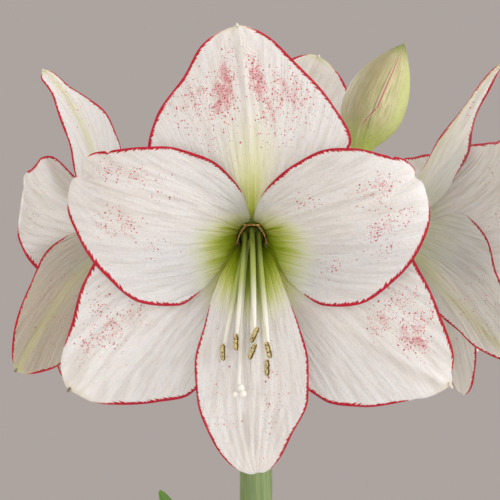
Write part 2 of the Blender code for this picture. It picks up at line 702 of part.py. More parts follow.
def make_bloom(bloom):
    """One bloom, whose parts hang on an empty in its throat with +Z pointing out of the bloom."""
    throat = bpy.data.objects.new(f"{bloom.name}_throat", None)
    bpy.context.scene.collection.objects.link(throat)
    place(throat, np.array(bloom.throat) + (0, 0, BLOOM_ROW), (90, 0, bloom.azimuth))
    make_stalk(bloom)
    make_tepals(bloom, throat)
    make_stamens(bloom, throat)
    make_pistil(bloom, throat)


def make_bud():
    """The closed bud, a pointed egg whose three outer tepals bulge, and its stalk and ovary."""
    row = np.array((0, 0, BLOOM_ROW))
    foot = pedicel_foot(BUD_PEDICEL)
    line = bezier(*BUD_LINE, BUD_SHARES) + row - foot
    forward = unit(line[1] - line[0])
    ovary = line[0] - forward * (OVARY_LENGTH + GAP)
    path = pedicel_path(np.zeros(3), ovary, forward, 0.45 * np.linalg.norm(ovary))
    radii = [PEDICEL_RADIUS] * len(path) + [5.2, OVARY_RADIUS, 5.8, 5.2]
    lobes = [0.0] * len(path) + [0.06, 0.1, 0.06, 0.0]
    path += [ovary + forward * share * OVARY_LENGTH for share in (0.2, 0.5, 0.85, 1)]
    place(add_tube("bud_stalk", path, radii, 12, ((0.3, 0.42, 0.13), 0.4), lobes), foot)
    lobes = [BUD_LOBE * math.sin(math.pi * share) for share in BUD_SHARES]
    place(add_tube("bud", line, BUD_RADII, 18, ((0.5, 0.55, 0.2), 0.45), lobes), foot)


def main():
    clear_scene()
    make_pot()
    make_soil()
    make_bulb()
    make_scape()
    make_leaves()
    make_bracts()
    for bloom in BLOOMS:
        make_bloom(bloom)
    make_bud()


main()
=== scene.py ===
"""Looks of a potted amaryllis in flower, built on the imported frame.

Sizes are in millimetres and are turned into metres where a mesh is made. Each piece keeps the form of the
solid that it stands for, from the same named values, and adds veins, folds, margins and surface detail.
"""

import math
from dataclasses import dataclass, replace
from functools import partial

import bmesh
import bpy
import numpy as np
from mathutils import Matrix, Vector, noise


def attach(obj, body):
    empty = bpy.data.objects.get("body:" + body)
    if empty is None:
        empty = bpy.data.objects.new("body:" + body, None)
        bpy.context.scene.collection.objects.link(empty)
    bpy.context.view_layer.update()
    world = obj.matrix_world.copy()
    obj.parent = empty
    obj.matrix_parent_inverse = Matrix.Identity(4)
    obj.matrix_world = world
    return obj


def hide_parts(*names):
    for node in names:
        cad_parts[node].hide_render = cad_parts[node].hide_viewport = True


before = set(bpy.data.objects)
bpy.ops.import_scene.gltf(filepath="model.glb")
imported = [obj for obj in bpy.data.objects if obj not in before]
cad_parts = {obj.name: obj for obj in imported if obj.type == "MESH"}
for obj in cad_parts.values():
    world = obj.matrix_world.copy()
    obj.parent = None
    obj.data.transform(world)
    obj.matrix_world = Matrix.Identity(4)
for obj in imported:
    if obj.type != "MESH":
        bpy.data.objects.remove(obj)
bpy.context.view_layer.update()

MM = 0.001
# Clearance between neighbouring pieces
GAP = 0.3
# Radius of a turned piece where it closes on its axis
AXIS_RADIUS = 0.05

# Camera, light and background
CAMERA_PLACE = (-0.0035, -0.895, 0.520)
CAMERA_LENS = 110.66
CAMERA_SENSOR = 36.0
CAMERA_CLIP = (0.05, 20.0)
LIGHTS_AIM = (0, 0, 0.5)
WALL_COLOUR = (0.415, 0.37, 0.35)
FLOOR_HALF_SIZE = 2.2

# Lights: place, size, power and colour of each
LIGHTS = {
    "key": ((1.9, -0.5, 0.9), 1.6, 26.5, (0.98, 0.98, 1.0)),
    "front": ((0.3, -2.2, 0.6), 1.4, 13.0, (1.0, 0.95, 0.91)),
    "side": ((-1.2, -1.8, 0.3), 1.6, 18.0, (1.0, 0.965, 0.93)),
    "back": ((-0.9, 1.4, 1.0), 1.2, 12.0, (0.97, 0.97, 1.0)),
    "top": ((0.2, 0.1, 2.6), 1.4, 11.0, (1.0, 0.95, 0.88)),
}

# Pot, soil and bulb
POT_HEIGHT = 130.0
POT_BASE_RADIUS = 51.0
POT_BODY_RADIUS = 71.0
POT_RIM_RADIUS = 77.0
POT_RIM_HEIGHT = 24.0
POT_WALL = 5.5
POT_FLOOR = 7.0
DRAIN_RADIUS = 5.0
DRAIN_RING = 28.0
DRAIN_ANGLES = (35, 155, 275)
SOIL_TOP = 114.0
BULB_BOTTOM = 72.0
BULB_WAIST = 110.0
BULB_RADIUS = 41.0
NECK_RADIUS = 24.0
NECK_TOP = 166.0
# Heights at which the bulb's two outer skins end, and how raggedly
OUTER_SKIN = (146, 9)
SECOND_SKIN = (158, 5)

# Flower stalk
BLOOM_ROW = 520.0
SCAPE_TOP = BLOOM_ROW - 42.0
SCAPE_RADIUS = 9.4
SCAPE_FOOT_RADIUS = 10.6
UMBEL_RADIUS = 12.6
SOCKET_DEPTH = 12.0
PEDICEL_RADIUS = 3.7
PEDICEL_RING = 8.3
OVARY_RADIUS = 6.6
OVARY_LENGTH = 15.0
TUBE_LENGTH = 25.0
TUBE_RIM_RADIUS = 10.6
TUBE_RIM_DROP = 0.5
WELL_RADIUS = 6.9
WELL_DEPTH = 7.0
WELL_FLOOR = -TUBE_RIM_DROP - WELL_DEPTH
SEPAL_RING = 9.6
PETAL_RING = 7.9

# Blades: tepals, leaves and bracts
TEPAL_THICKNESS = 0.6
LEAF_THICKNESS = 2.0
BRACT_THICKNESS = 0.5
TIP_HALF_WIDTH = 0.4
ROWS_CROWDED_TO_TIP = 1.5
MIDRIB_STEPS = 240
VEIN_SPREAD = 26.0
RED_WIDTH = 1.55
THROAT_REACH = 29.5
# The green of a tepal's foot behind, its length and strength, and the share where its tip begins
FOOT_GREEN = (42.0, 0.4)
TIP_SHARE = 0.965
# How strongly the rib and the specks show behind and in front
RIB_SHOWN = (0.7, 0.03)
SPECKS_SHOWN = (0.25, 1.0)
# Directions of the top and of the bottom tepal
UP, DOWN = 90, 270

# Stamens and pistil
STAMEN_RING_RADIUS = 6.2
STAMEN_RING_HOLE = 2.5
STAMEN_RING_HEIGHT = 3.0
FILAMENT_CIRCLE = 4.5
FILAMENT_RADII = ((0, 1.15), (0.4, 1.4), (0.8, 1.25), (1, 0.8))
ANTHER_LENGTH = 8.6
ANTHER_RADIUS = 1.38
FURROWS = (2.4, 5.4)
STYLE_RADIUS = 0.85
# How far light spreads under the skin in red, green and blue, beside the scale of each paint
EVEN_RADIUS = (1.0, 0.8, 0.62)
STIGMA_BEADS = ((1.2, 0.9, 0.2, 1.9), (-1.5, -2.3, 0.6, 1.6), (2.3, -1.9, 1.0, 1.85))


@dataclass(frozen=True)
class Blade:
    """A tepal, leaf or bract, which starts on a ring round the flower's or the plant's axis.

    direction turns it round that axis, in degrees, anticlockwise as seen from the axis's end. tilt holds
    pairs of share of length and degrees that the midrib leans away from the axis. edge holds share of
    length and the half widths on the anticlockwise and on the clockwise side. sway and bow bend the
    midrib sideways, in degrees. cup holds share of length and how strongly the blade curves across, in
    1/m, and curl lifts its two edges, in millimetres. wrap is the share of length over which the foot
    bends round the ring, and blunt is how blunt the outline runs between its knots.
    """

    direction: float
    length: float
    tilt: tuple
    edge: tuple
    ring: float
    sway: float = 0.0
    bow: float = 0.0
    cup: tuple = ((0, 0), (1, 0))
    curl: tuple = (0.0, 0.0)
    wrap: float = 0.35
    blunt: float = 2.0


@dataclass(frozen=True)
class Relief:
    """How a blade's surface rises and what is drawn on it.

    keel holds share of length, place across in millimetres and height of a fold, keel_width its width.
    ribs scales the fine ribs beside the midrib. folds holds broader lengthwise folds, each with share of
    length, its reach, place across as a share of the half width, its reach, height and number across.
    ruffle is how far the two edges wave, waves how often, and phase where they start. dips holds a notch
    in the tip: place across, width, depth along and depth back. nicks holds cuts in an edge: share of
    length, side, depth and the cut's length as a share. red holds the shares between which the red margin
    runs, on the anticlockwise and on the clockwise edge, and border how wide it is beside the usual.
    spots holds patches of specks, each with share of length, place across as a share of the half width,
    the patch's two radii and its density. rays holds green rays from the throat: place across and length.
    rib is where the green rib of the outer side lies across, and dull how much duller and darker
    that side is painted, partly its own colour and partly painted shade. crown is how far the middle stands
    above the edges, and pale how much whiter the blade is painted, as painted light on blades in shade. horn
    is the length of the little point at the tip, and hooked makes it dark.
    """

    keel: tuple = ((0.25, 0, 0), (0.6, 0, 0.9), (1, 0, 1.2))
    keel_width: float = 3.2
    ribs: float = 1.0
    folds: tuple = ()
    ruffle: tuple = (0.35, 0.35)
    waves: float = 2.6
    phase: float = 0.0
    dips: tuple = ()
    nicks: tuple = ()
    red: tuple = ((0.3, 0.99), (0.3, 0.99))
    border: float = 1.0
    spots: tuple = ((0.7, 0.3, 0.1, 0.16, 0.35), (0.7, -0.3, 0.1, 0.16, 0.35))
    rays: tuple = ()
    rib: float | None = None
    dull: float = 0.0
    crown: float = 0.0
    pale: float = 0.0
    horn: float = 0.0
    hooked: bool = False


@dataclass(frozen=True)
class Bloom:
    """A bloom's throat, from the scape's axis and the bloom row, and how the bloom turns.

    azimuth turns the bloom round the scape from facing -Y, roll turns it round its own axis, pedicel is
    where its pedicel stands round the top of the scape, and reach is how far its pistil has grown.
    """

    name: str
    throat: tuple
    azimuth: float
    roll: float
    pedicel: float
    reach: float
    blades: dict
    reliefs: dict


SEPAL_TILT = ((0, 24), (0.25, 56), (0.5, 78), (1, 104))
PETAL_TILT = ((0, 12), (0.2, 32), (0.4, 58), (0.65, 82), (1, 118))
LIP_TILT = ((0, 12), (0.25, 42), (0.5, 70), (1, 104))
SIDE_SEPAL_TILT = ((0, 22), (0.25, 56), (0.5, 72), (1, 72))
SIDE_PETAL_TILT = ((0, 14), (0.3, 50), (0.65, 82), (1, 118))
SIDE_LIP_TILT = ((0, 12), (0.25, 42), (0.5, 64), (1, 84))
PETAL_CUP = ((0, 0), (0.3, 8), (0.6, 5), (1, -3))
LIP_CUP = ((0, 0), (0.4, 8), (1, 8))

FRONT_BLADES = {
    "sepal_top": Blade(
        UP, 110, SEPAL_TILT, ring=SEPAL_RING, sway=4,
        edge=((0, 9.2, 9.2), (0.15, 15, 15), (0.3, 36, 36), (0.44, 52, 51.5), (0.6, 47, 43),
              (0.8, 30, 26), (0.93, 20, 14.5), (0.975, 12.5, 8), (1, 0, 0)),
    ),
    "petal_left": Blade(
        150, 110, PETAL_TILT, ring=PETAL_RING, sway=12, bow=8, cup=PETAL_CUP, curl=(4, 0),
        edge=((0, 7.4, 6.6), (0.12, 12, 13), (0.26, 31, 22.5), (0.42, 46, 30), (0.56, 48.5, 31),
              (0.72, 39, 27), (0.88, 24, 19.8), (0.96, 15.5, 15), (1, 0, 0)),
    ),
    "petal_right": Blade(
        30, 104, PETAL_TILT, ring=PETAL_RING, sway=-11, bow=-8, cup=PETAL_CUP, curl=(0, 4),
        edge=((0, 6.6, 7.4), (0.12, 13, 12), (0.26, 20.8, 32), (0.42, 27.5, 46), (0.56, 30.5, 49),
              (0.72, 27, 41.5), (0.88, 17.8, 28.5), (0.96, 12.5, 19), (1, 0, 0)),
    ),
    "sepal_left": Blade(
        210, 125, SEPAL_TILT, ring=SEPAL_RING, sway=10,
        edge=((0, 9.2, 9.2), (0.15, 16, 16), (0.3, 34, 32), (0.5, 48, 37), (0.65, 47.5, 31),
              (0.8, 38, 20), (0.93, 23.5, 12), (0.985, 13, 5.2), (1, 0, 0)),
    ),
    "sepal_right": Blade(
        330, 130, SEPAL_TILT, ring=SEPAL_RING, sway=-7,
        edge=((0, 9.2, 9.2), (0.15, 16, 16), (0.3, 32, 34), (0.5, 38, 50), (0.65, 31, 49),
              (0.8, 21, 39), (0.93, 11.6, 20), (0.975, 4.5, 12), (1, 0, 0)),
    ),
    "petal_bottom": Blade(
        DOWN, 135.5, LIP_TILT, ring=PETAL_RING, sway=1, cup=LIP_CUP,
        edge=((0, 7.4, 7.4), (0.12, 11, 11), (0.3, 16.5, 19), (0.45, 23, 24), (0.6, 27.5, 29),
              (0.72, 27, 28), (0.85, 18.5, 22), (0.95, 11, 13.5), (1, 0, 0)),
    ),
}

FRONT_RELIEFS = {
    "sepal_top": Relief(
        keel=((0.2, 0, 0), (0.5, 0, 0.7), (0.9, 0, 1.3), (1, 0, 1.0)), keel_width=1.7, horn=1.3, rib=0,
        crown=4.5, ribs=1.6, folds=((0.9, 0.12, 0, 0.5, 0.3, 3),), red=((0.3, 1.0), (0.3, 1.0)),
        spots=((0.716, 0.29, 0.12, 0.14, 1.1), (0.68, 0.64, 0.09, 0.2, 0.4), (0.55, 0.4, 0.1, 0.2, 0.14),
               (0.735, -0.2, 0.1, 0.14, 0.9), (0.6, -0.24, 0.06, 0.1, 0.6), (0.664, -0.56, 0.1, 0.28, 0.5),
               (0.51, -0.3, 0.07, 0.22, 0.18)),
    ),
    "petal_left": Relief(
        keel=((0.3, 0, 0), (0.6, 0, 0.8), (1, 0, 0.8)), keel_width=5, phase=0.6,
        folds=((0.62, 0.24, -0.08, 0.3, 0.42, 8), (0.84, 0.11, 0.05, 0.5, 0.65, 6)),
        dips=((-3.5, 3.0, 2.4, 2.5),), nicks=((0.884, -1, 1.2, 0.009),),
        red=((0.30, 0.975), (0.2, 0.975)), rays=((0.11, 36), (0.43, 42)),
        spots=((0.86, -0.5, 0.05, 0.2, 0.33), (0.71, -0.45, 0.1, 0.14, 0.33), (0.58, -0.22, 0.07, 0.12, 0.12),
               (0.73, 0.25, 0.08, 0.12, 0.3), (0.68, 0.3, 0.04, 0.1, 0.35), (0.79, 0.47, 0.07, 0.12, 0.2),
               (0.56, 0.42, 0.07, 0.1, 0.18)),
    ),
    "petal_right": Relief(
        keel=((0.3, 0, 0), (0.6, 0, 0.6), (1, 0, 0.6)), keel_width=5, phase=2.4,
        folds=((0.62, 0.25, 0.05, 0.3, 0.26, 8),), dips=((1.4, 2.5, 1.6, 2.0),),
        nicks=((0.905, 1, 1.2, 0.009),), red=((0.19, 1.0), (0.31, 0.985)), rays=((-0.10, 36), (-0.46, 42)),
        spots=((0.77, 0.13, 0.09, 0.18, 0.45), (0.82, 0.39, 0.04, 0.14, 0.25), (0.73, -0.37, 0.085, 0.11, 0.4),
               (0.85, -0.49, 0.06, 0.12, 0.25), (0.41, 0.23, 0.05, 0.16, 0.25), (0.48, -0.56, 0.07, 0.1, 0.2),
               (0.73, -0.63, 0.07, 0.11, 0.2)),
    ),
    # Painted whiter by pale: painted light where the petals above leave this sepal in shade
    "sepal_left": Relief(
        keel=((0.3, 0, 0), (0.6, 0, 0.6), (0.9, 0, 1.4), (1, 0, 1)), phase=1.2, rib=0, pale=0.9,
        horn=1.6, hooked=True, red=((0.3, 0.985), (0.3, 0.885)),
        spots=((0.709, -0.14, 0.065, 0.25, 0.5), (0.81, -0.33, 0.07, 0.25, 0.4),
               (0.686, -0.53, 0.05, 0.22, 0.28), (0.598, -0.09, 0.05, 0.16, 0.3)),
    ),
    "sepal_right": Relief(
        keel=((0.3, -16, 0), (0.56, -13, 1.6), (0.76, -8.6, 2.2), (0.96, -1.8, 2), (1, 0, 1)), keel_width=3.4,
        horn=2.4, phase=3.0, rib=0, nicks=((0.945, -1, 0.8, 0.009),), red=((0.3, 0.975), (0.3, 0.93)),
        spots=((0.773, 0.22, 0.065, 0.24, 0.9), (0.633, 0, 0.04, 0.14, 0.5), (0.745, 0.61, 0.045, 0.28, 0.4),
               (0.64, 0.35, 0.05, 0.25, 0.3), (0.666, 0.68, 0.025, 0.15, 0.4)),
    ),
    "petal_bottom": Relief(
        keel=((0.4, 0, 0), (0.7, 0, 0.5), (1, 0, 0.5)), phase=4.2, dips=((1.0, 2.0, 0.8, 0.8),), ribs=2.4,
        folds=((0.82, 0.15, 0.0, 0.6, 0.8, 5), (0.55, 0.16, 0.1, 0.5, 0.28, 4)),
        red=((0.36, 0.98), (0.36, 0.98)), border=0.7,
        spots=((0.72, 0.42, 0.12, 0.25, 0.1), (0.696, -0.5, 0.16, 0.25, 0.05), (0.88, 0.1, 0.07, 0.5, 0.02)),
    ),
}


def changed(parts, **changes):
    """The same blades or reliefs by name, some of them with other values."""
    return parts | {name: replace(parts[name], **values) for name, values in changes.items()}

LEFT_BLADES = changed(
    FRONT_BLADES,
    sepal_top=dict(
        length=105, sway=-2, blunt=2.2, tilt=((0, 22), (0.2, 62), (0.4, 78), (0.7, 66), (1, 48)),
        edge=((0, 9.2, 9.2), (0.15, 15, 15), (0.3, 32, 27), (0.45, 44, 30), (0.6, 39, 27),
              (0.75, 24, 20.5), (0.86, 12, 16), (0.94, 7.5, 15), (1, 0, 0)),
    ),
    petal_right=dict(
        length=96, tilt=SIDE_PETAL_TILT, sway=3, bow=0,
        edge=((0, 6.6, 7.4), (0.12, 13, 12), (0.26, 20.5, 29), (0.42, 27.5, 37), (0.56, 32, 34),
              (0.7, 26, 30), (0.8, 17, 27.5), (0.88, 10, 20), (0.94, 6.5, 8.5), (0.975, 4, 6.5), (1, 0, 0)),
    ),
    petal_bottom=dict(length=104, tilt=SIDE_LIP_TILT),
    sepal_right=dict(
        length=105, tilt=SIDE_SEPAL_TILT, sway=-10,
        edge=((0, 9.2, 9.2), (0.15, 16, 16), (0.3, 29, 32), (0.5, 33, 42), (0.65, 30, 42),
              (0.8, 23, 34), (0.93, 14, 20), (1, 0, 0)),
    ),
    sepal_left=dict(length=100, sway=2, tilt=((0, 22), (0.25, 50), (0.5, 60), (1, 60))),
)

RIGHT_BLADES = changed(
    FRONT_BLADES,
    sepal_top=dict(
        length=116, sway=0, tilt=((0, 22), (0.25, 56), (0.6, 62), (1, 56)),
        edge=((0, 9.2, 9.2), (0.15, 16, 15), (0.3, 28, 23), (0.45, 25, 22), (0.6, 15.5, 18),
              (0.75, 9, 13.5), (0.9, 5, 8), (1, 0, 0)),
    ),
    petal_left=dict(
        length=98, sway=-7, bow=0, tilt=((0, 14), (0.3, 48), (0.65, 78), (1, 112)),
        edge=((0, 7.4, 6.6), (0.12, 12, 13), (0.26, 31, 24), (0.42, 46, 36), (0.52, 48.5, 39),
              (0.72, 39, 30), (0.88, 24, 19.8), (0.96, 15.5, 15), (1, 0, 0)),
    ),
    petal_bottom=dict(length=112, tilt=((0, 12), (0.25, 46), (0.5, 72), (1, 76))),
    sepal_left=dict(
        length=108, sway=8, tilt=((0, 22), (0.25, 54), (0.5, 68), (1, 74)),
        edge=((0, 9.2, 9.2), (0.15, 15, 22), (0.23, 21, 34), (0.32, 28, 39), (0.45, 32, 36), (0.6, 31, 25),
              (0.8, 23, 16), (0.93, 13, 11), (1, 0, 0)),
    ),
)

BACK_BLADES = changed(
    FRONT_BLADES,
    sepal_top=dict(
        length=119,
        edge=((0, 9.2, 9.2), (0.15, 15, 15), (0.3, 36, 36), (0.45, 52, 51), (0.6, 49, 43),
              (0.8, 36, 26), (0.93, 23, 15), (1, 0, 0)),
    ),
    sepal_right=dict(length=100, sway=2, tilt=((0, 22), (0.25, 48), (0.5, 58), (1, 62))),
    petal_right=dict(length=100, tilt=((0, 12), (0.2, 30), (0.4, 44), (0.65, 52), (1, 70))),
)

SIDE_RELIEFS = {
    name: Relief(phase=1.7 * k, ruffle=(1.1, 1.1), folds=((0.65, 0.3, 0, 0.4, 0.25, 7),))
    for k, name in enumerate(FRONT_BLADES)
}
SIDE_RELIEFS = changed(SIDE_RELIEFS, **{
    name: dict(horn=1.2, rib=0.0) for name in SIDE_RELIEFS if name.startswith("sepal")
})
DENSE_SPOTS = ((0.6, 0.35, 0.2, 0.3, 0.3), (0.65, -0.35, 0.2, 0.3, 0.3))
# Two of the left bloom's tepals are painted duller and darker behind: partly their own colour, partly painted
# shade where the front bloom shades them
LEFT_RELIEFS = changed(
    SIDE_RELIEFS, sepal_top=dict(border=1.5), petal_bottom=dict(dull=0.5),
    petal_right=dict(red=((0.2, 0.985), (0.3, 0.84)), ruffle=(0.8, 0.5), nicks=((0.885, -1, 6.5, 0.045),)),
    sepal_right=dict(hooked=True, dull=0.9, spots=DENSE_SPOTS),
)
# The right bloom's tepals are all painted whiter by pale: painted light
PAINTED_LIGHT_RELIEFS = {name: replace(relief, pale=0.7) for name, relief in SIDE_RELIEFS.items()}
RIGHT_RELIEFS = changed(
    PAINTED_LIGHT_RELIEFS, sepal_top=dict(rib=-0.75, border=1.6), sepal_left=dict(rib=0.5, spots=DENSE_SPOTS),
    petal_left=dict(red=((0.15, 0.985), (0.15, 0.985))),
)
# The back bloom's top sepal is painted a little duller and darker behind: partly its own colour, partly painted
# shade
BACK_RELIEFS = changed(SIDE_RELIEFS, sepal_top=dict(rib=None, dull=0.2))

BLOOMS = (
    Bloom("front", (-2.5, -85, 7), 0, 0, 0, 1.0, FRONT_BLADES, FRONT_RELIEFS),
    Bloom("left", (-72.5, 24, 10), -108, -12, -77, 0.94, LEFT_BLADES, LEFT_RELIEFS),
    Bloom("right", (80.5, 18, 10), 108, 8, 75, 0.9, RIGHT_BLADES, RIGHT_RELIEFS),
    Bloom("back", (0.5, 85, 20), 180, 17, 205, 1.0, BACK_BLADES, BACK_RELIEFS),
)

# Rows and columns of the front bloom's tepals, of the others, of leaves, bracts and fringes
FRONT_GRID = (120, 84)
SIDE_GRID = (84, 56)
LEAF_GRID = (110, 34)
BRACT_GRID = (70, 34)
FRINGE_GRID = (9, 161)

# Points round each tube or turned piece
SIDES = {
    "pot": 160, "drain": 28, "soil": 150, "bulb": 180, "scape": 48, "stalk": 36, "bud_stalk": 30, "bud": 150,
    "ring": 40, "filament": 12, "anther": 28, "style": 12, "bead": 20, "horn": 10, "lip": 10, "spur": 8,
}
# The last rows of a blade, over which its skin turns level
TIP_ROWS = 8
# From this share of length on, folds, ribs and curls have their full height
GROWN_AT = 0.3
# How far apart two blades, and the two edges of one, lie in their material's noise
BLADE_SHIFT = 53.0
EDGE_SHIFT = 37.0
# Three sizes of speck: cells in a millimetre, size of the dot, share of cells that have one, and tone
SPECKS = (
    (1.35, 0.27, 0.7, (0.60, 0.22, 0.25)), (0.9, 0.26, 0.75, (0.52, 0.12, 0.16)),
    (0.62, 0.21, 0.8, (0.44, 0.05, 0.09)),
)
CRUMBS = 520
CRUMB_SEED = 7
SMALL_CRUMB = (0.6, 1.5)
LARGE_CRUMB = (1.8, 3.2)
# Height and width of the lumps in the soil's top
SOIL_LUMPS = ((1.3, 14), (0.8, 4.5), (0.4, 1.8))
# Where the numbers of the bracts start, which shift their noise
FIRST_BRACT_NUMBER = 40

# Each filament's foot on its circle in degrees, its anther's place right of, above and in front of the
# throat, and the anther's lean from upright in degrees
ANTHERS = (
    (210, (-14.2, -57.0, 57.5), 2),
    (150, (-7.8, -52.0, 59.0), 2),
    (90, (1.2, -48.5, 58.5), -25),
    (270, (0.2, -56.5, 59.0), -22),
    (30, (8.0, -55.8, 60.0), 14),
    (330, (7.4, -64.5, 60.0), 0),
)
STIGMA = (-6.8, -75.0, 62.5)
STYLE_BENDS = ((-4.4, -4.6, 29), (-4.6, -38, 46))

# The scale in the throat: corners of its lip, its foot's radius and the arc that the foot covers
FRINGE_LIP = (
    (-8.1, -3.8, 4.8), (-6.5, 1.0, 4.0), (-2.9, 6.0, 3.0), (2.9, 6.0, 3.0), (6.5, 1.0, 4.0), (8.1, -3.8, 4.8),
)
FRINGE_RADIUS = 7.15
FRINGE_ARC = (222, -42)

# Bud: the middle line of its perianth, from the scape's axis and the bloom row
BUD_LINE = ((62.5, 20, 57), (64.5, 20, 77), (76, 20, 99), (88, 20, 122))
BUD_SHARES = (0, 0.05, 0.12, 0.22, 0.34, 0.46, 0.58, 0.7, 0.81, 0.9, 0.96, 1)
BUD_RADII = (5.6, 6.6, 9.6, 14.2, 17.8, 18.9, 18.2, 15.8, 11.8, 7.2, 3.8, 0.9)
BUD_LOBE = 0.06
BUD_PEDICEL = 141
BUD_SEAMS = (5, 125, 245)
BUD_SEAM_SWING = 40.0
BUD_SEAM_LOW = 0.42
BUD_TIPS = (40, 160, 280)

LEAF_EDGE = (
    (0, 8.5, 8.5), (0.12, 11, 11), (0.35, 19, 19), (0.6, 21, 21), (0.82, 15, 15), (0.95, 7.5, 7.5), (1, 0, 0),
)
LEAF_CUP = ((0, 30), (1, 20))
LEAF_RING = 17.5
LEAVES = (
    Blade(150, 217, ((0, 2), (0.5, 10), (1, 34)), LEAF_EDGE, LEAF_RING, cup=LEAF_CUP),
    Blade(215, 292, ((0, 8), (0.35, 30), (0.7, 80), (1, 128)), LEAF_EDGE, LEAF_RING, cup=LEAF_CUP),
    Blade(350, 270, ((0, 8), (0.35, 32), (0.7, 78), (1, 120)), LEAF_EDGE, LEAF_RING, cup=LEAF_CUP),
    Blade(60, 250, ((0, 6), (0.4, 26), (0.75, 62), (1, 100)), LEAF_EDGE, LEAF_RING, cup=LEAF_CUP),
    Blade(282, 200, ((0, 9), (0.4, 34), (0.75, 72), (1, 112)), LEAF_EDGE, LEAF_RING, cup=LEAF_CUP),
)
BRACT_EDGE = ((0, 8, 8), (0.3, 10, 10), (0.7, 6, 6), (1, 0, 0))
BRACT_RING = 13.0
BRACTS = (
    Blade(232, 72, ((0, 80), (0.2, 150), (0.7, 172), (1, 168)), BRACT_EDGE, BRACT_RING, wrap=0.9),
    Blade(128, 64, ((0, 80), (0.2, 152), (0.7, 174), (1, 165)), BRACT_EDGE, BRACT_RING, wrap=0.9),
)


class Paint:
    """Builds the nodes of one material."""

    def __init__(self, name, **settings):
        self.material = bpy.data.materials.new(name)
        self.material.use_nodes = True
        self.tree = self.material.node_tree
        self.shader = self.tree.nodes["Principled BSDF"]
        for key, value in settings.items():
            self.shader.inputs[key.replace("_", " ")].default_value = value

    def node(self, kind, inputs, **settings):
        made = self.tree.nodes.new("ShaderNode" + kind)
        for key, value in settings.items():
            setattr(made, key, value)
        for key, value in inputs.items():
            if isinstance(value, bpy.types.NodeSocket):
                self.tree.links.new(value, made.inputs[key])
            elif value is not None:
                made.inputs[key].default_value = value
        return made

    def value(self, name):
        return self.node("Attribute", {}, attribute_name=name).outputs["Fac"]

    def vector(self, name):
        return self.node("Attribute", {}, attribute_name=name).outputs["Vector"]

    def place(self):
        """The point's own place in metres."""
        return self.node("TexCoord", {}).outputs["Object"]

    def split(self, vector):
        return self.node("SeparateXYZ", {0: vector}).outputs

    def joined(self, x, y, z):
        return self.node("CombineXYZ", {0: x, 1: y, 2: z}).outputs[0]

    def math(self, operation, a, b=None, clamp=False):
        return self.node("Math", {0: a, 1: b}, operation=operation, use_clamp=clamp).outputs[0]

    def plus(self, a, b, clamp=False):
        return self.math("ADD", a, b, clamp)

    def minus(self, a, b):
        return self.math("SUBTRACT", a, b)

    def times(self, a, b):
        return self.math("MULTIPLY", a, b)

    def around(self, radius):
        """Where the point's angle lies on a circle of that radius."""
        angle = self.value("angle")
        return [self.times(self.math(kind, angle), radius) for kind in ("COSINE", "SINE")]

    def step(self, value, low, high, start=0.0, end=1.0):
        """Rises smoothly from start to end between low and high."""
        inputs = {"Value": value, "From Min": low, "From Max": high, "To Min": start, "To Max": end}
        return self.node("MapRange", inputs, interpolation_type="SMOOTHSTEP").outputs["Result"]

    def mix(self, factor, a, b):
        """Mixes two colours by a value, or by the step that a tuple describes."""
        if isinstance(factor, tuple):
            factor = self.step(*factor)
        a, b = ((*c, 1) if isinstance(c, tuple) else c for c in (a, b))
        return self.node("Mix", {0: factor, 6: a, 7: b}, data_type="RGBA", clamp_factor=True).outputs[2]

    def layers(self, colour, *layers):
        """Lays one tone after another over a colour, each by its own factor."""
        for factor, tone in layers:
            colour = self.mix(factor, colour, tone)
        return colour

    def noise(self, where, scale, detail=3, rough=0.55):
        """Noise whose scale is one number, or one for each direction."""
        if isinstance(scale, tuple):
            where = self.node("VectorMath", {0: where, 1: scale}, operation="MULTIPLY").outputs[0]
            scale = 1.0
        inputs = {"Vector": where, "Scale": scale, "Detail": detail, "Roughness": rough}
        return self.node("TexNoise", inputs).outputs["Fac"]

    def cells(self, where, scale, dimensions="3D"):
        """The distance from the middle of each cell, and its three random values."""
        made = self.node("TexVoronoi", {"Vector": where, "Scale": scale}, voronoi_dimensions=dimensions)
        return made.outputs["Distance"], self.split(made.outputs["Color"])

    def finish(self, colour, roughness, height, depth):
        """Sets the colour, the roughness by a step, and a bump of that depth in metres."""
        bump = self.node("Bump", {"Strength": 1.0, "Distance": depth, "Height": height})
        self.tree.links.new(colour, self.shader.inputs["Base Color"])
        self.tree.links.new(self.step(*roughness), self.shader.inputs["Roughness"])
        self.tree.links.new(bump.outputs[0], self.shader.inputs["Normal"])
        return self.material


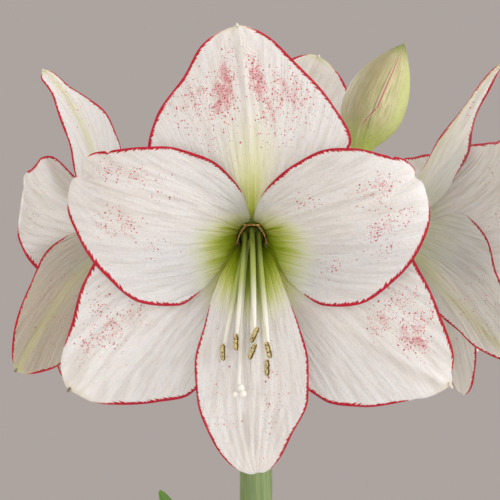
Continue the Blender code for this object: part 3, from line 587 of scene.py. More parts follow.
class Shape:
    """Points, faces and the values kept at each point of one piece, in millimetres."""

    def __init__(self):
        self.points, self.faces, self.values, self.charts = [], [], [], []
        self.count = 0

    def add(self, points, faces, chart=None, **values):
        points = np.asarray(points, float).reshape(-1, 3)
        self.faces += [[i + self.count for i in face] for face in faces]
        self.values.append({key: self.spread(value, len(points)) for key, value in values.items()})
        self.points.append(points)
        self.charts.append(chart)
        self.count += len(points)

    @staticmethod
    def spread(value, count):
        """The value of each point, where one number may stand for all."""
        value = np.asarray(value)
        return np.broadcast_to(value, (count, 3) if value.ndim == 2 else (count,))

    def keep_values(self, mesh):
        for key in sorted({key for part in self.values for key in part}):
            blank = next(part[key] for part in self.values if key in part)
            data = np.concatenate([
                part.get(key, np.zeros((len(points), *blank.shape[1:])))
                for part, points in zip(self.values, self.points)
            ])
            kind, field = ("FLOAT_VECTOR", "vector") if data.ndim == 2 else ("FLOAT", "value")
            layer = mesh.attributes.new(key, kind, "POINT")
            layer.data.foreach_set(field, data.ravel().astype(np.float32))

    def keep_charts(self, mesh):
        if all(chart is not None for chart in self.charts):
            layer = mesh.uv_layers.new(name="OFBake")
            layer.data.foreach_set("uv", np.concatenate(self.charts).ravel().astype(np.float32))

    def build(self, name, slot, look, *nodes):
        mesh = bpy.data.meshes.new(name)
        mesh.from_pydata((np.concatenate(self.points) * MM).tolist(), [], self.faces)
        self.keep_values(mesh)
        self.keep_charts(mesh)
        mesh.shade_smooth()
        mesh.materials.append(look)
        return settle(bpy.data.objects.new(name, mesh), slot, *nodes)


def settle(obj, slot, *nodes):
    """Links a finished piece, hangs it on the root, and hides the nodes that it stands for."""
    bpy.context.scene.collection.objects.link(obj)
    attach(obj, "root")
    if nodes:
        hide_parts(*nodes)
    return obj


def eased(share, knots, column=1):
    """A smooth curve through the knots that never overshoots them."""
    at = np.array([knot[0] for knot in knots], float)
    value = np.array([knot[column] for knot in knots], float)
    share = np.clip(np.asarray(share, float), at[0], at[-1])
    span = np.clip(np.searchsorted(at, share, side="right") - 1, 0, len(at) - 2)
    rise = np.diff(value) / np.diff(at)
    slope = np.concatenate([rise[:1], np.zeros(len(at) - 2), rise[-1:]])
    for k in range(1, len(at) - 1):
        before, after = rise[k - 1], rise[k]
        if before * after > 0:
            slope[k] = 2 * before * after / (before + after)
    width = at[span + 1] - at[span]
    f = (share - at[span]) / width
    return (
        (2 * f**3 - 3 * f**2 + 1) * value[span]
        + (f**3 - 2 * f**2 + f) * width * slope[span]
        + (3 * f**2 - 2 * f**3) * value[span + 1]
        + (f**3 - f**2) * width * slope[span + 1]
    )


def unit(vectors):
    return vectors / np.linalg.norm(vectors, axis=-1, keepdims=True)


def turned(points, degrees):
    """Points turned round +Z."""
    a = math.radians(degrees)
    x, y, z = points[..., 0], points[..., 1], points[..., 2]
    return np.stack([x * math.cos(a) - y * math.sin(a), x * math.sin(a) + y * math.cos(a), z], -1)


def from_throat(bloom, points, degrees=0.0):
    """Places points that are given round a bloom's axis in the whole plant."""
    points = turned(np.asarray(points, float), bloom.roll + degrees)
    forward = np.stack([points[..., 0], -points[..., 2], points[..., 1]], -1)
    return turned(forward, bloom.azimuth) + np.array(bloom.throat) + (0, 0, BLOOM_ROW)


def half_widths(blade, share):
    """Half widths of the blade on its anticlockwise and its clockwise side."""
    widths = []
    for column in (1, 2):
        knots = tuple((knot[0], knot[column] ** blade.blunt) for knot in blade.edge)
        power = np.maximum(eased(share, knots), TIP_HALF_WIDTH**blade.blunt)
        widths.append(power ** (1 / blade.blunt))
    return widths


def hump(away, width):
    """A smooth hump round zero, with a height of one."""
    return np.exp(-((away / width) ** 2))


def summed(values, step):
    """Running total of the values along the midrib, from zero."""
    return np.concatenate([[0], np.cumsum(values[1:] + values[:-1])]) * step / 2


def grown(share):
    """How far folds and curls have grown: not yet at the foot, and less again towards the tip."""
    return np.clip(share / GROWN_AT, 0, 1) * (1 - share**4)


def blade_midrib(blade):
    """Share of length, distance from the axis and points of the midrib, and its inward side."""
    along = np.linspace(0, 1, MIDRIB_STEPS)
    tilt = np.radians(eased(along, blade.tilt))
    step = blade.length / (MIDRIB_STEPS - 1)
    out = blade.ring + summed(np.sin(tilt), step)
    turn = np.radians(blade.sway * along**1.5 + blade.bow * np.sin(np.pi * along))
    outward = np.stack([np.cos(turn), np.sin(turn), 0 * turn], 1)
    axis = np.array([0, 0, 1.0])
    midrib = outward * out[:, None] + axis * summed(np.cos(tilt), step)[:, None]
    forward = unit(np.gradient(midrib, axis=0))
    inward = np.sin(tilt)[:, None] * axis - np.cos(tilt)[:, None] * outward
    inward = unit(inward - (inward * forward).sum(1)[:, None] * forward)
    return along, out, midrib, inward, np.cross(inward, forward)


@dataclass
class Sheet:
    """A blade's middle surface as a grid, and where each of its points lies on the blade."""

    middle: np.ndarray
    share: np.ndarray
    across: np.ndarray
    x: np.ndarray
    edge: np.ndarray
    blade: Blade


def columns_across(count):
    """Places across from -1 to 1, with narrow columns along both edges."""
    return np.concatenate([[-1, -0.994, -0.978], np.linspace(-0.95, 0.95, count - 6), [0.978, 0.994, 1]])


def blade_sheet(blade, rows, columns, relief):
    """The blade's middle surface, rows from foot to tip and columns across."""
    along, out, midrib, inward, across = blade_midrib(blade)
    share = 1 - (1 - np.linspace(0, 1, rows)) ** ROWS_CROWDED_TO_TIP

    def at_rows(values):
        return np.stack([np.interp(share, along, values[:, k]) for k in range(3)], 1)

    v = columns_across(columns)[None, :]
    anticlockwise, clockwise = half_widths(blade, share)
    width = np.where(v > 0, anticlockwise[:, None], clockwise[:, None])
    x = width * v
    for at, side, depth, long in relief.nicks:
        near = hump(share - at, long)[:, None]
        x = x - side * depth * near * np.clip(v * side, 0, 1) ** 6
    wrap = np.clip(1 - share / blade.wrap, 0, 1) ** 1.5
    bend = wrap / np.interp(share, along, out) + (1 - wrap) * eased(share, blade.cup) / 1000
    bend = np.where(np.abs(bend) < 1e-6, 1e-6, bend)[:, None]
    side = np.sin(bend * x) / bend
    curl = np.where(v > 0, blade.curl[0], blade.curl[1]) * np.abs(v) ** 3 * grown(share)[:, None]
    rise = (1 - np.cos(bend * x)) / bend + curl + relief_rise(relief, share[:, None], x, v, width)
    centre, inward, across = at_rows(midrib), unit(at_rows(inward)), unit(at_rows(across))
    middle = centre[:, None] + across[:, None] * side[..., None] + inward[:, None] * rise[..., None]
    ahead = unit(np.cross(across, inward))
    for at, wide, along_depth, back_depth in relief.dips:
        near = hump(x - at, wide) * np.clip((share[:, None] - 0.8) / 0.16, 0, 1) ** 2
        middle = middle - near[..., None] * (along_depth * ahead + back_depth * inward)[:, None]
    slope = np.gradient(width, share * blade.length, axis=0)
    edge = (1 - np.abs(v)) * width / np.sqrt(1 + slope**2)
    shares, places = np.broadcast_to(share[:, None], x.shape), np.broadcast_to(v, x.shape)
    return Sheet(middle, shares, places, x, edge, blade)


def relief_rise(relief, share, x, v, width):
    """How far the keel, the ribs, the folds and the waving edges lift the surface, in millimetres."""
    where, height = eased(share, relief.keel), eased(share, relief.keel, 2)
    rise = height * hump(x - where, relief.keel_width)
    ribbed = np.clip((share - 0.28) / 0.18, 0, 1) * grown(share) * hump(v, 0.33)
    rise = rise + relief.ribs * 0.0035 * width * np.cos(20 * math.pi * v) * ribbed
    for at, reach, across, spread, fold, count in relief.folds:
        near = hump(share - at, reach) * hump(v - across, spread)
        rise = rise + fold * near * np.cos(2 * math.pi * count * (v - across) + 3 * share)
    rise = rise + relief.crown * (1 - v**2) * grown(share)
    wave = np.sin(2 * math.pi * relief.waves * share + relief.phase + np.where(v > 0, 0, 2.1))
    return rise + np.where(v > 0, *relief.ruffle) * np.abs(v) ** 3 * wave * grown(share)


def quads(index):
    """Faces between neighbours in a grid of point numbers."""
    corners = (index[:-1, :-1], index[1:, :-1], index[1:, 1:], index[:-1, 1:])
    return np.stack([corner.ravel() for corner in corners], 1)


def closed_skin(middle, thickness):
    """Points of a closed skin on both sides of a middle surface, and its front and its back faces.

    The two sides share the surface's outline.
    """
    rows, columns = middle.shape[:2]
    normal = unit(np.cross(np.gradient(middle, axis=0), np.gradient(middle, axis=1)))
    level = unit(normal[:, columns // 4:-columns // 4].mean(1, keepdims=True))
    near_tip = np.clip((np.arange(rows) - rows + TIP_ROWS) / (TIP_ROWS - 2), 0, 1)[:, None, None]
    normal = unit(normal * (1 - near_tip) + level * near_tip)
    offset = normal * thickness[..., None] / 2
    front = np.arange(rows * columns).reshape(rows, columns)
    back = front.copy()
    back[1:-1, 1:-1] = rows * columns + np.arange((rows - 2) * (columns - 2)).reshape(rows - 2, -1)
    front_points = middle.copy()
    front_points[1:-1, 1:-1] += offset[1:-1, 1:-1]
    points = np.concatenate([front_points.reshape(-1, 3), (middle - offset)[1:-1, 1:-1].reshape(-1, 3)])
    return points, cut_corners(quads(front), front), cut_corners(quads(back)[:, ::-1], front)


def cut_corners(faces, grid):
    """The same faces, with those at a grid's corners cut inwards, so that its two sides share no cut."""
    corners, cut = grid[::len(grid) - 1, ::grid.shape[1] - 1].ravel().tolist(), []
    for face in faces.tolist():
        first = next((k for k, point in enumerate(face) if point in corners), None)
        if first is None:
            cut.append(face)
        else:
            a, b, c, d = face[first:] + face[:first]
            cut += [[a, b, c], [a, c, d]]
    return cut


def both_sides(values):
    """Values of a grid for the points of its closed skin."""
    values = np.asarray(values)
    flat = values.reshape(-1, *values.shape[2:])
    return np.concatenate([flat, values[1:-1, 1:-1].reshape(-1, *values.shape[2:])])


def add_skin(shape, sheet, thickness, place, number, **values):
    """Adds a sheet's closed skin to a shape, with its values and its two charts."""
    points, front, back = closed_skin(sheet.middle, thickness * np.clip(0.2 + sheet.edge / 2.5, 0.2, 1))
    along = sheet.share * sheet.blade.length
    where = np.stack([sheet.x, along, np.full_like(along, BLADE_SHIFT * number)], -1)
    chart = np.stack([0.5 + sheet.x / (2 * np.abs(sheet.x).max()), sheet.share], -1)
    chart = both_sides(chart) * (0.46, 0.96) + (0.02, 0.02)
    loops = [[point for face in faces for point in face] for faces in (front, back)]
    charts = np.concatenate([chart[loops[0]], chart[loops[1]] + (0.5, 0)])
    values |= {"where": where, "across": sheet.across, "share": sheet.share, "edge": sheet.edge}
    values = {key: both_sides(value) for key, value in values.items()}
    shape.add(place(points), front + back, charts, back=np.arange(len(points)) >= sheet.share.size, **values)


def bezier(p0, p1, p2, p3, shares):
    u = np.asarray(shares, float)[:, None]
    p0, p1, p2, p3 = (np.asarray(p, float) for p in (p0, p1, p2, p3))
    return (1 - u) ** 3 * p0 + 3 * (1 - u) ** 2 * u * p1 + 3 * (1 - u) * u**2 * p2 + u**3 * p3


def ring_angles(sides):
    """The angle of each point of a ring."""
    return np.arange(sides) * 2 * math.pi / sides


def tube_rings(path, radii, sides, profile=None):
    """Rings of points round a path, whose radius profile changes with the ring and the angle."""
    path, angle, rings = np.asarray(path, float), ring_angles(sides), []
    tangent = unit(np.gradient(path, axis=0))
    side = np.cross(tangent[0], (0, 0, 1.0))
    if np.linalg.norm(side) < 0.1:
        side = np.cross(tangent[0], (0, 1.0, 0))
    for k, centre in enumerate(path):
        side = unit(side - (side @ tangent[k]) * tangent[k])
        other = np.cross(tangent[k], side)
        radius = radii[k] * (profile(k, angle) if profile else 1 + 0 * angle)
        spread = np.outer(np.cos(angle), side) + np.outer(np.sin(angle), other)
        rings.append(centre + spread * radius[:, None])
    return rings


def tube_faces(count, sides):
    faces = [list(range(sides))[::-1]]
    for k in range(count - 1):
        for j in range(sides):
            a, b = k * sides + j, k * sides + (j + 1) % sides
            faces.append([a, b, b + sides, a + sides])
    faces.append(list(range((count - 1) * sides, count * sides)))
    return faces


def add_rings(shape, rings, place=None, **values):
    """Adds the solid inside some rings, with its share of length and its angle at each point."""
    points, count, sides = np.concatenate(rings), len(rings), len(rings[0])
    along, angle = np.repeat(np.linspace(0, 1, count), sides), np.tile(ring_angles(sides), count)
    values = {"along": along, "angle": angle} | values
    shape.add(place(points) if place else points, tube_faces(count, sides), **values)


def add_tube(shape, path, radii, sides, place=None, **values):
    """Adds a closed tube along a path to a shape."""
    add_rings(shape, tube_rings(path, radii, sides), place, **values)


def turned_points(profile, sides, swell=None):
    """Points of a turned solid; swell(angle, radius, height) moves each point outward."""
    angle = ring_angles(sides)
    points = []
    for radius, height in profile:
        r = radius + (swell(angle, radius, height) if swell else 0 * angle)
        points.append(np.stack([r * np.cos(angle), r * np.sin(angle), np.full(sides, float(height))], 1))
    return np.concatenate(points)


def fine_profile(knots, most):
    """A profile with more points on its long straight parts, none of them further apart than most."""
    fine = [knots[0]]
    for a, b in zip(knots, knots[1:]):
        count = max(1, math.ceil(math.dist(a, b) / most))
        fine += [tuple(a[i] + (b[i] - a[i]) * k / count for i in (0, 1)) for k in range(1, count + 1)]
    return fine


def rounded(knots, radius, steps):
    """A profile whose inner corners are rounded."""
    made = [knots[0]]
    for before, corner, after in zip(knots, knots[1:], knots[2:]):
        reach = min(radius, math.dist(before, corner) * 0.45, math.dist(corner, after) * 0.45)
        corner = np.array(corner)
        start, end = (
            corner + (np.array(other) - corner) * reach / math.dist(corner, other) for other in (before, after)
        )
        for f in np.arange(steps + 1) / steps:
            made.append(tuple((1 - f) ** 2 * start + 2 * f * (1 - f) * corner + f**2 * end))
    return made + [knots[-1]]


def crumple(points, size, seed=0.0):
    """Noise from -1 to 1 at each point, with lumps of that size in millimetres."""
    shift = Vector((seed, 0, 0))
    return np.array([noise.noise(Vector(p) / size + shift) for p in np.asarray(points).reshape(-1, 3)])


def tepal_paint():
    """White with fine veins, a green throat, red specks, a toothed red margin and a green rib behind."""
    p = Paint(
        "tepal", Subsurface_Weight=0.55, Subsurface_Radius=EVEN_RADIUS, Subsurface_Scale=0.002,
        Specular_IOR_Level=0.3,
    )
    where, back, edge = p.vector("where"), p.value("back"), p.value("edge")
    x, along, number = p.split(where)[:3]
    narrowing = p.math("POWER", p.plus(along, 12.0), 0.75)
    flow = p.joined(p.math("DIVIDE", p.times(x, VEIN_SPREAD), narrowing), along, number)
    streak = p.noise(flow, (0.75, 0.028, 1), 4)
    fine = p.noise(flow, (1.5, 0.05, 1), 2)
    fold = p.noise(flow, (0.3, 0.03, 1), 2)
    cloud = p.noise(where, (0.05, 0.04, 1), 2)
    grain = p.noise(where, (0.9, 0.7, 1), 3, 0.65)
    veins = p.plus(p.times(streak, 0.5), p.times(fine, 0.5))
    colour = p.layers(
        (0.84, 0.825, 0.81), ((veins, 0.42, 0.62), (0.79, 0.765, 0.745)),
        ((cloud, 0.45, 0.75, 0, 0.45), (0.78, 0.73, 0.69)), ((grain, 0.35, 0.5, 0.55, 0), (0.74, 0.70, 0.67)),
        # pale paints blades whiter: painted light on blades that lie in shade
        ((grain, 0.5, 0.7, 0, 0.5), (0.90, 0.88, 0.86)), (p.value("pale"), (0.93, 0.92, 0.90)),
        # Painted shade: grey in the grooves of the folds, where the bump also sinks
        ((fold, 0.38, 0.54, 0.5, 0), (0.66, 0.63, 0.605)),
    )

    # Green of the throat, in rays
    deep = p.value("green")
    ragged = p.times(p.minus(streak, 0.5), 0.6)
    green = p.plus(deep, p.times(ragged, p.step(deep, 0, 0.3)), True)
    colour = p.layers(
        colour, ((deep, 0.0, 0.3, 0, 0.85), (0.79, 0.81, 0.58)), ((green, 0.2, 0.55), (0.54, 0.61, 0.14)),
        ((green, 0.46, 0.72), (0.31, 0.41, 0.012)), ((green, 0.7, 0.95), (0.19, 0.26, 0.002)),
    )

    # Duller and darker outer side, partly its own colour and partly painted shade, and its yellow-green rib
    dull = p.mix((streak, 0.35, 0.65), (0.52, 0.475, 0.41), (0.44, 0.40, 0.335))
    rib = p.times(p.value("rib"), p.step(streak, 0.3, 0.65, 0.7, 1.0))
    colour = p.layers(colour, (p.value("dull"), dull), (rib, (0.60, 0.61, 0.32)))

    # Specks, denser here and there, over a faint haze
    broken = p.step(p.noise(where, (0.22, 0.16, 1), 2), 0.32, 0.62, 0.45, 1.5)
    density = p.times(p.value("spots"), broken)
    haze = p.times(p.step(density, 0.15, 1.2, 0, 0.8), p.step(streak, 0.35, 0.6, 0.55, 1.0))
    colour = p.mix(haze, colour, (0.68, 0.38, 0.40))
    flat = p.joined(p.plus(x, number), p.times(along, 0.85), 0.0)
    for scale, size, amount, tone in SPECKS:
        distance, random = p.cells(flat, scale, "2D")
        size = p.times(p.plus(random[1], 0.4), size)
        dot = p.step(p.math("DIVIDE", distance, size), 0.7, 1.2, 1, 0)
        shown = p.math("LESS_THAN", random[0], p.times(density, amount))
        colour = p.mix(p.times(dot, shown), colour, tone)

    # Toothed red margin, whose teeth slant inwards, and the tip
    brink = p.joined(p.minus(along, p.times(edge, 0.9)), p.times(p.math("SIGN", x), EDGE_SHIFT), number)
    teeth = p.step(p.noise(brink, (0.75, 1, 1), 2), 0.36, 0.7, 0.7, 1.5)
    slow = p.step(p.noise(brink, (0.07, 1, 1), 1), 0.3, 0.7, 0.75, 1.15)
    wanted = p.value("margin")
    beyond = p.minus(edge, p.times(wanted, p.times(teeth, slow)))
    strong = p.step(wanted, 0.05, 0.3)
    crimson = p.mix((fine, 0.4, 0.6), (0.46, 0.002, 0.012), (0.33, 0.001, 0.009))
    colour = p.layers(
        colour, (p.times(p.step(beyond, 0.0, 0.5, 0.4, 0), strong), (0.74, 0.30, 0.32)),
        (p.times(p.step(beyond, -0.1, 0.1, 1, 0), strong), crimson),
        (p.value("tip"), p.mix(back, (0.74, 0.69, 0.55), (0.50, 0.54, 0.26))),
        (p.value("hook"), (0.16, 0.13, 0.05)),
    )
    height = p.plus(p.plus(p.times(veins, -0.7), p.times(grain, 0.7)), p.times(fold, 2.5))
    return p.finish(colour, (grain, 0.3, 0.7, 0.42, 0.6), p.times(height, p.value("room")), 0.001)


def red_width(relief, share, across):
    """Width of the red margin in millimetres, between where it starts and where it ends on each edge."""
    width = np.zeros_like(share)
    for side, (start, end) in zip((1, -1), relief.red):
        grown = np.clip((share - start) / 0.15, 0, 1) ** 0.6 * np.clip((end - share) / 0.07, 0, 1) ** 0.6
        width = np.where(across * side > 0, RED_WIDTH * relief.border * grown, width)
    return width


def throat_green(blade, relief, sheet):
    """How green each point is: all round the throat, and in rays along the tepals."""
    x, y = np.moveaxis(turned(sheet.middle, blade.direction), -1, 0)[:2]
    below = 0.8 if blade.direction == DOWN else 0.62
    far = np.hypot(x * 0.92, (y + 6) * np.where(y > -6, 1.5, below))
    green = np.clip(1.1 - far / THROAT_REACH, 0, 1)
    along = sheet.share * blade.length
    for across, length in relief.rays:
        ray = hump(sheet.across - across, 0.075) * np.clip(1.15 - along / length, 0, 1)
        green = np.maximum(green, 0.95 * ray)
    if blade.direction == UP:
        stripe = hump(sheet.across, 0.3) * np.clip(1.15 - along / 65, 0, 1)
        green = np.maximum(green, 0.58 * stripe)
    return green


def tepal_values(blade, sheet, relief):
    """Where a tepal is green, speckled, ribbed and how wide its margin is, at each point of its grid."""
    spots, rib = np.zeros_like(sheet.share), np.zeros_like(sheet.share)
    for share, across, along_radius, across_radius, density in relief.spots:
        away = ((sheet.share - share) / along_radius) ** 2 + ((sheet.across - across) / across_radius) ** 2
        spots = np.maximum(spots, density * np.exp(-0.8 * away**1.3))
    widths = half_widths(blade, sheet.share)
    if relief.rib is not None:
        away = sheet.x - relief.rib * widths[0 if relief.rib > 0 else 1]
        rib = hump(away, 3.5 + 4.0 * (1 - sheet.share))
        rib = rib * np.clip(sheet.share * blade.length / 20, 0, 1) * (0.5 + 0.5 * sheet.share)
    return {
        "green": throat_green(blade, relief, sheet), "spots": spots, "rib": rib,
        "margin": red_width(relief, sheet.share, sheet.across), "pale": np.full_like(rib, relief.pale),
        "room": np.clip(sum(widths) / 40, 0, 1) ** 2,
    }


def add_horn(shape, sheet, relief, place):
    """The small blunt point in which an outer tepal ends."""
    middle = sheet.middle.shape[1] // 2
    tip, before = sheet.middle[-1, middle], sheet.middle[-12, middle]
    path = tip + np.outer(np.linspace(-1.0, 1, 7), unit(tip - before)) * relief.horn
    radii = 0.9 * np.array((0.5, 0.9, 1.0, 0.95, 0.85, 0.7, 0.3))
    tone = {"hook": 0.85} if relief.hooked else {"tip": 1.0}
    add_tube(shape, path, radii, SIDES["horn"], place, edge=60.0, **tone)


def make_tepal(bloom, name, number, look):
    """One tepal, whose outer side has a green foot and rib and fewer specks."""
    blade, relief = bloom.blades[name], bloom.reliefs[name]
    rows, columns = FRONT_GRID if bloom.name == "front" else SIDE_GRID
    sheet = blade_sheet(blade, rows, columns, relief)
    thickness = TEPAL_THICKNESS * (0.45 + 0.55 * hump(sheet.x, 18))
    place = partial(from_throat, bloom, degrees=blade.direction)
    tip = np.clip((sheet.share - TIP_SHARE) / (1 - TIP_SHARE), 0, 1) * (0.8 if relief.horn else 0.0)
    shape = Shape()
    add_skin(shape, sheet, thickness, place, number, tip=tip, **tepal_values(blade, sheet, relief))
    part = shape.values[-1]
    foot = np.clip(1 - part["share"] * blade.length / FOOT_GREEN[0], 0, 1) * FOOT_GREEN[1]
    part["rib"] = part["rib"] * np.where(part["back"], *RIB_SHOWN)
    part["spots"] = part["spots"] * np.where(part["back"], *SPECKS_SHOWN)
    part["green"] = np.where(part["back"], foot, part["green"])
    part["dull"] = np.where(part["back"], relief.dull, 0.0)
    if relief.horn:
        shape.charts = [None]
        add_horn(shape, sheet, relief, place)
    node = f"{bloom.name}_{name}"
    shape.build(f"fine_{node}", "tepal", look, node)


def filament_paint():
    """Deep green at the foot and white towards the anther."""
    p = Paint(
        "filament", Subsurface_Weight=0.3, Subsurface_Scale=0.001, Subsurface_Radius=EVEN_RADIUS,
        Specular_IOR_Level=0.4,
    )
    along, mottle = p.value("along"), p.noise(p.place(), 900.0)
    colour = p.layers(
        (0.40, 0.48, 0.12), ((along, 0.56, 0.86), (0.86, 0.86, 0.78)),
        ((along, 0.28, 0.6, 1, 0), (0.14, 0.19, 0.01)), ((mottle, 0.5, 0.8, 0, 0.2), (0.62, 0.60, 0.45)),
    )
    return p.finish(colour, (mottle, 0.3, 0.7, 0.35, 0.5), mottle, 0.0002)


def anther_paint():
    """Khaki pollen grains with a dark brown furrow."""
    p = Paint("anther", Specular_IOR_Level=0.3)
    place = p.place()
    grains, random = p.cells(place, 1700.0)
    cloud = p.noise(place, 800.0)
    dark = p.plus(p.value("groove"), p.times(p.minus(cloud, 0.5), 0.8), True)
    colour = p.layers(
        (0.60, 0.50, 0.21), (random[0], (0.86, 0.76, 0.42)),
        (p.math("GREATER_THAN", random[1], 0.8), (0.20, 0.12, 0.035)),
        ((cloud, 0.48, 0.72, 0, 0.7), (0.32, 0.21, 0.06)), ((dark, 0.4, 0.7), (0.075, 0.036, 0.010)),
    )
    return p.finish(colour, (grains, 0.1, 0.6, 0.65, 0.9), grains, 0.0005)


def filament_path(degrees, anther, shares):
    """From the filament's foot on its circle, out of the tube and down to its anther."""
    x, y = turned(np.array((FILAMENT_CIRCLE, 0.0, 0.0)), degrees)[:2]
    foot, anther = np.array((x, y, WELL_FLOOR + 2)), np.array(anther)
    beneath = anther * (0.66, 0.52, 1) + foot * (0.1, 0.9, 0) - (0, 0, 14)
    return bezier(foot, foot * (0.6, 0.9, 1) + (0, 0.5, 29), beneath, anther, shares)


def add_anther(shape, centre, lean, place):
    """A rounded rod of pollen with a furrow down its left front side."""
    lean = math.radians(lean)
    upright = unit(np.array((-math.sin(lean), math.cos(lean), 0.15)))
    shares = np.linspace(-1, 1, 33)
    bow = np.outer(0.35 * (1 - shares**2), (0, 0, 1))
    path = np.asarray(centre) + np.outer(shares * ANTHER_LENGTH / 2, upright) + bow
    radii = ANTHER_RADIUS * np.maximum(1 - np.abs(shares) ** 5, 0.02) ** 0.5
    sides = SIDES["anther"]
    furrow = sum(hump(ring_angles(sides) - at, 0.42) for at in FURROWS)
    rings = tube_rings(path, radii, sides, lambda k, angle: 1 - 0.26 * furrow)
    points = np.concatenate(rings)
    points = points + (points - np.repeat(path, sides, 0)) * (0.07 * crumple(points, 0.55, 3.1))[:, None]
    shape.add(place(points), tube_faces(len(rings), sides), groove=np.tile(furrow, len(rings)))


def make_stamens(bloom, filament, anther_look):
    """Six filaments that droop out of the throat, on their ring in the tube, and their anthers."""
    shape, anthers, place = Shape(), Shape(), partial(from_throat, bloom)
    bottom = WELL_FLOOR + GAP
    top = bottom + STAMEN_RING_HEIGHT
    inner, outer = STAMEN_RING_HOLE, STAMEN_RING_RADIUS
    ring = turned_points(((inner, bottom), (outer, bottom), (outer, top), (inner, top)), SIDES["ring"])
    index = np.pad(np.arange(len(ring)).reshape(4, -1), ((0, 1), (0, 1)), "wrap")
    shape.add(place(ring), quads(index)[:, ::-1].tolist(), along=0.0)
    shares = np.linspace(0, 1, 40)
    radii = eased(shares, FILAMENT_RADII) * np.where(shares > 0.96, 0.7, 1)
    for degrees, anther, lean in ANTHERS:
        add_tube(shape, filament_path(degrees, anther, shares), radii, SIDES["filament"], place)
        add_anther(anthers, anther, lean, place)
    node = f"{bloom.name}_stamens"
    shape.build(f"fine_{node}", "stamens", filament, node)
    anthers.build(f"{bloom.name}_anthers", "stamens", anther_look)


def make_pistil(bloom, look):
    """The style and its three white, swollen stigma lobes."""
    shape, place = Shape(), partial(from_throat, bloom)
    tip, shares = np.array(STIGMA) * bloom.reach, np.linspace(0, 1, 60)
    path = bezier((0, 0, WELL_FLOOR + 2 * GAP), *STYLE_BENDS, tip, shares)
    add_tube(shape, path, STYLE_RADIUS * (1 + 0.3 * shares**8), SIDES["style"], place)
    for *offset, radius in STIGMA_BEADS:
        turn = np.linspace(0.12, math.pi - 0.12, 15)
        bead = tip + offset + np.outer(-np.cos(turn), (0, 0, radius))
        add_tube(shape, bead, radius * np.sin(turn), SIDES["bead"], place, along=1.0)
    node = f"{bloom.name}_pistil"
    shape.build(f"fine_{node}", "pistil", look, node)


def fringe_paint():
    """Dark green at the foot, tan at the lip, with red-brown blotches between."""
    p = Paint("fringe", Specular_IOR_Level=0.2)
    share, mottle = p.value("share"), p.noise(p.place(), 900.0)
    blotch = p.times(p.step(share, 0.5, 0.65, 0, 0.9), p.step(mottle, 0.47, 0.56))
    colour = p.layers(
        (0.16, 0.21, 0.01), ((share, 0.3, 0.65), (0.74, 0.50, 0.19)), (blotch, (0.32, 0.07, 0.015)),
    )
    return p.finish(colour, (mottle, 0.3, 0.7, 0.4, 0.6), mottle, 0.0003)


def make_fringe(bloom, look):
    """The scale that stands in the mouth of the tube: a bar over the filaments, with an arm on each side."""
    rows, columns = FRINGE_GRID
    along, corners = np.linspace(0, 1, columns), np.array(FRINGE_LIP)
    reach = np.concatenate([[0], np.cumsum(np.linalg.norm(np.diff(corners, axis=0), axis=1))])
    lip = np.stack([np.interp(along * reach[-1], reach, corners[:, k]) for k in range(3)], 1)
    lip[:, 2] += 0.35 * np.abs(np.sin(along * 46 + 2 * np.sin(along * 17))) - 0.3
    angle = np.radians(FRINGE_ARC[0] + (FRINGE_ARC[1] - FRINGE_ARC[0]) * along)
    base = np.stack([FRINGE_RADIUS * np.cos(angle), FRINGE_RADIUS * np.sin(angle), 0 * angle - 0.25], 1)
    share = np.linspace(0, 1, rows)[:, None]
    middle = base * (1 - share[..., None]) + lip * share[..., None]
    points, front, back = closed_skin(middle, np.full((rows, columns), 0.4))
    shape, place = Shape(), partial(from_throat, bloom)
    shape.add(place(points), front + back, share=both_sides(np.broadcast_to(share, (rows, columns))))
    add_tube(shape, lip, 0.27 + 0.17 * crumple(lip, 1.3), SIDES["lip"], place, share=0.85)
    for side in (-1, 1):
        spur = ((side * 2.2, 6.0, 3.0), (side * 3.4, 6.2, 3.2), (side * 4.6, 6.1, 3.4))
        add_tube(shape, spur, (0.4, 0.42, 0.25), SIDES["spur"], place, share=0.85)
    shape.build(f"{bloom.name}_fringe", "tepal", look)


def stem_paint(name, dark, light, pale_to=None):
    """Waxy green with fine lengthwise streaks, and paler towards the end if a colour is given for it."""
    p = Paint(
        name, Specular_IOR_Level=0.5, Subsurface_Weight=0.1, Subsurface_Scale=0.002, Coat_Weight=0.08,
    )
    place = p.place()
    streak = p.noise(p.joined(*p.around(5.0), p.times(p.split(place)[2], 14.0)), 2.2, 4)
    cloud, dust = p.noise(place, 60.0), p.noise(place, 2200.0, 2)
    colour = p.layers(dark, ((streak, 0.35, 0.65), light), ((cloud, 0.45, 0.75, 0, 0.35), (0.33, 0.40, 0.22)))
    if pale_to:
        pale = (p.value("along"), 0.75, 1.0, 0, 0.8)
        colour = p.layers(colour, (pale, pale_to), (p.value("inside"), (0.12, 0.17, 0.006)))
    return p.finish(colour, (cloud, 0.3, 0.7, 0.36, 0.52), p.plus(streak, p.times(dust, 0.15)), 0.0006)


def pedicel_foot(degrees):
    """The foot of a pedicel on top of the scape, as degrees round it from -Y."""
    a = math.radians(degrees)
    return np.array((
        PEDICEL_RING * math.sin(a), -PEDICEL_RING * math.cos(a), SCAPE_TOP + GAP,
    ))


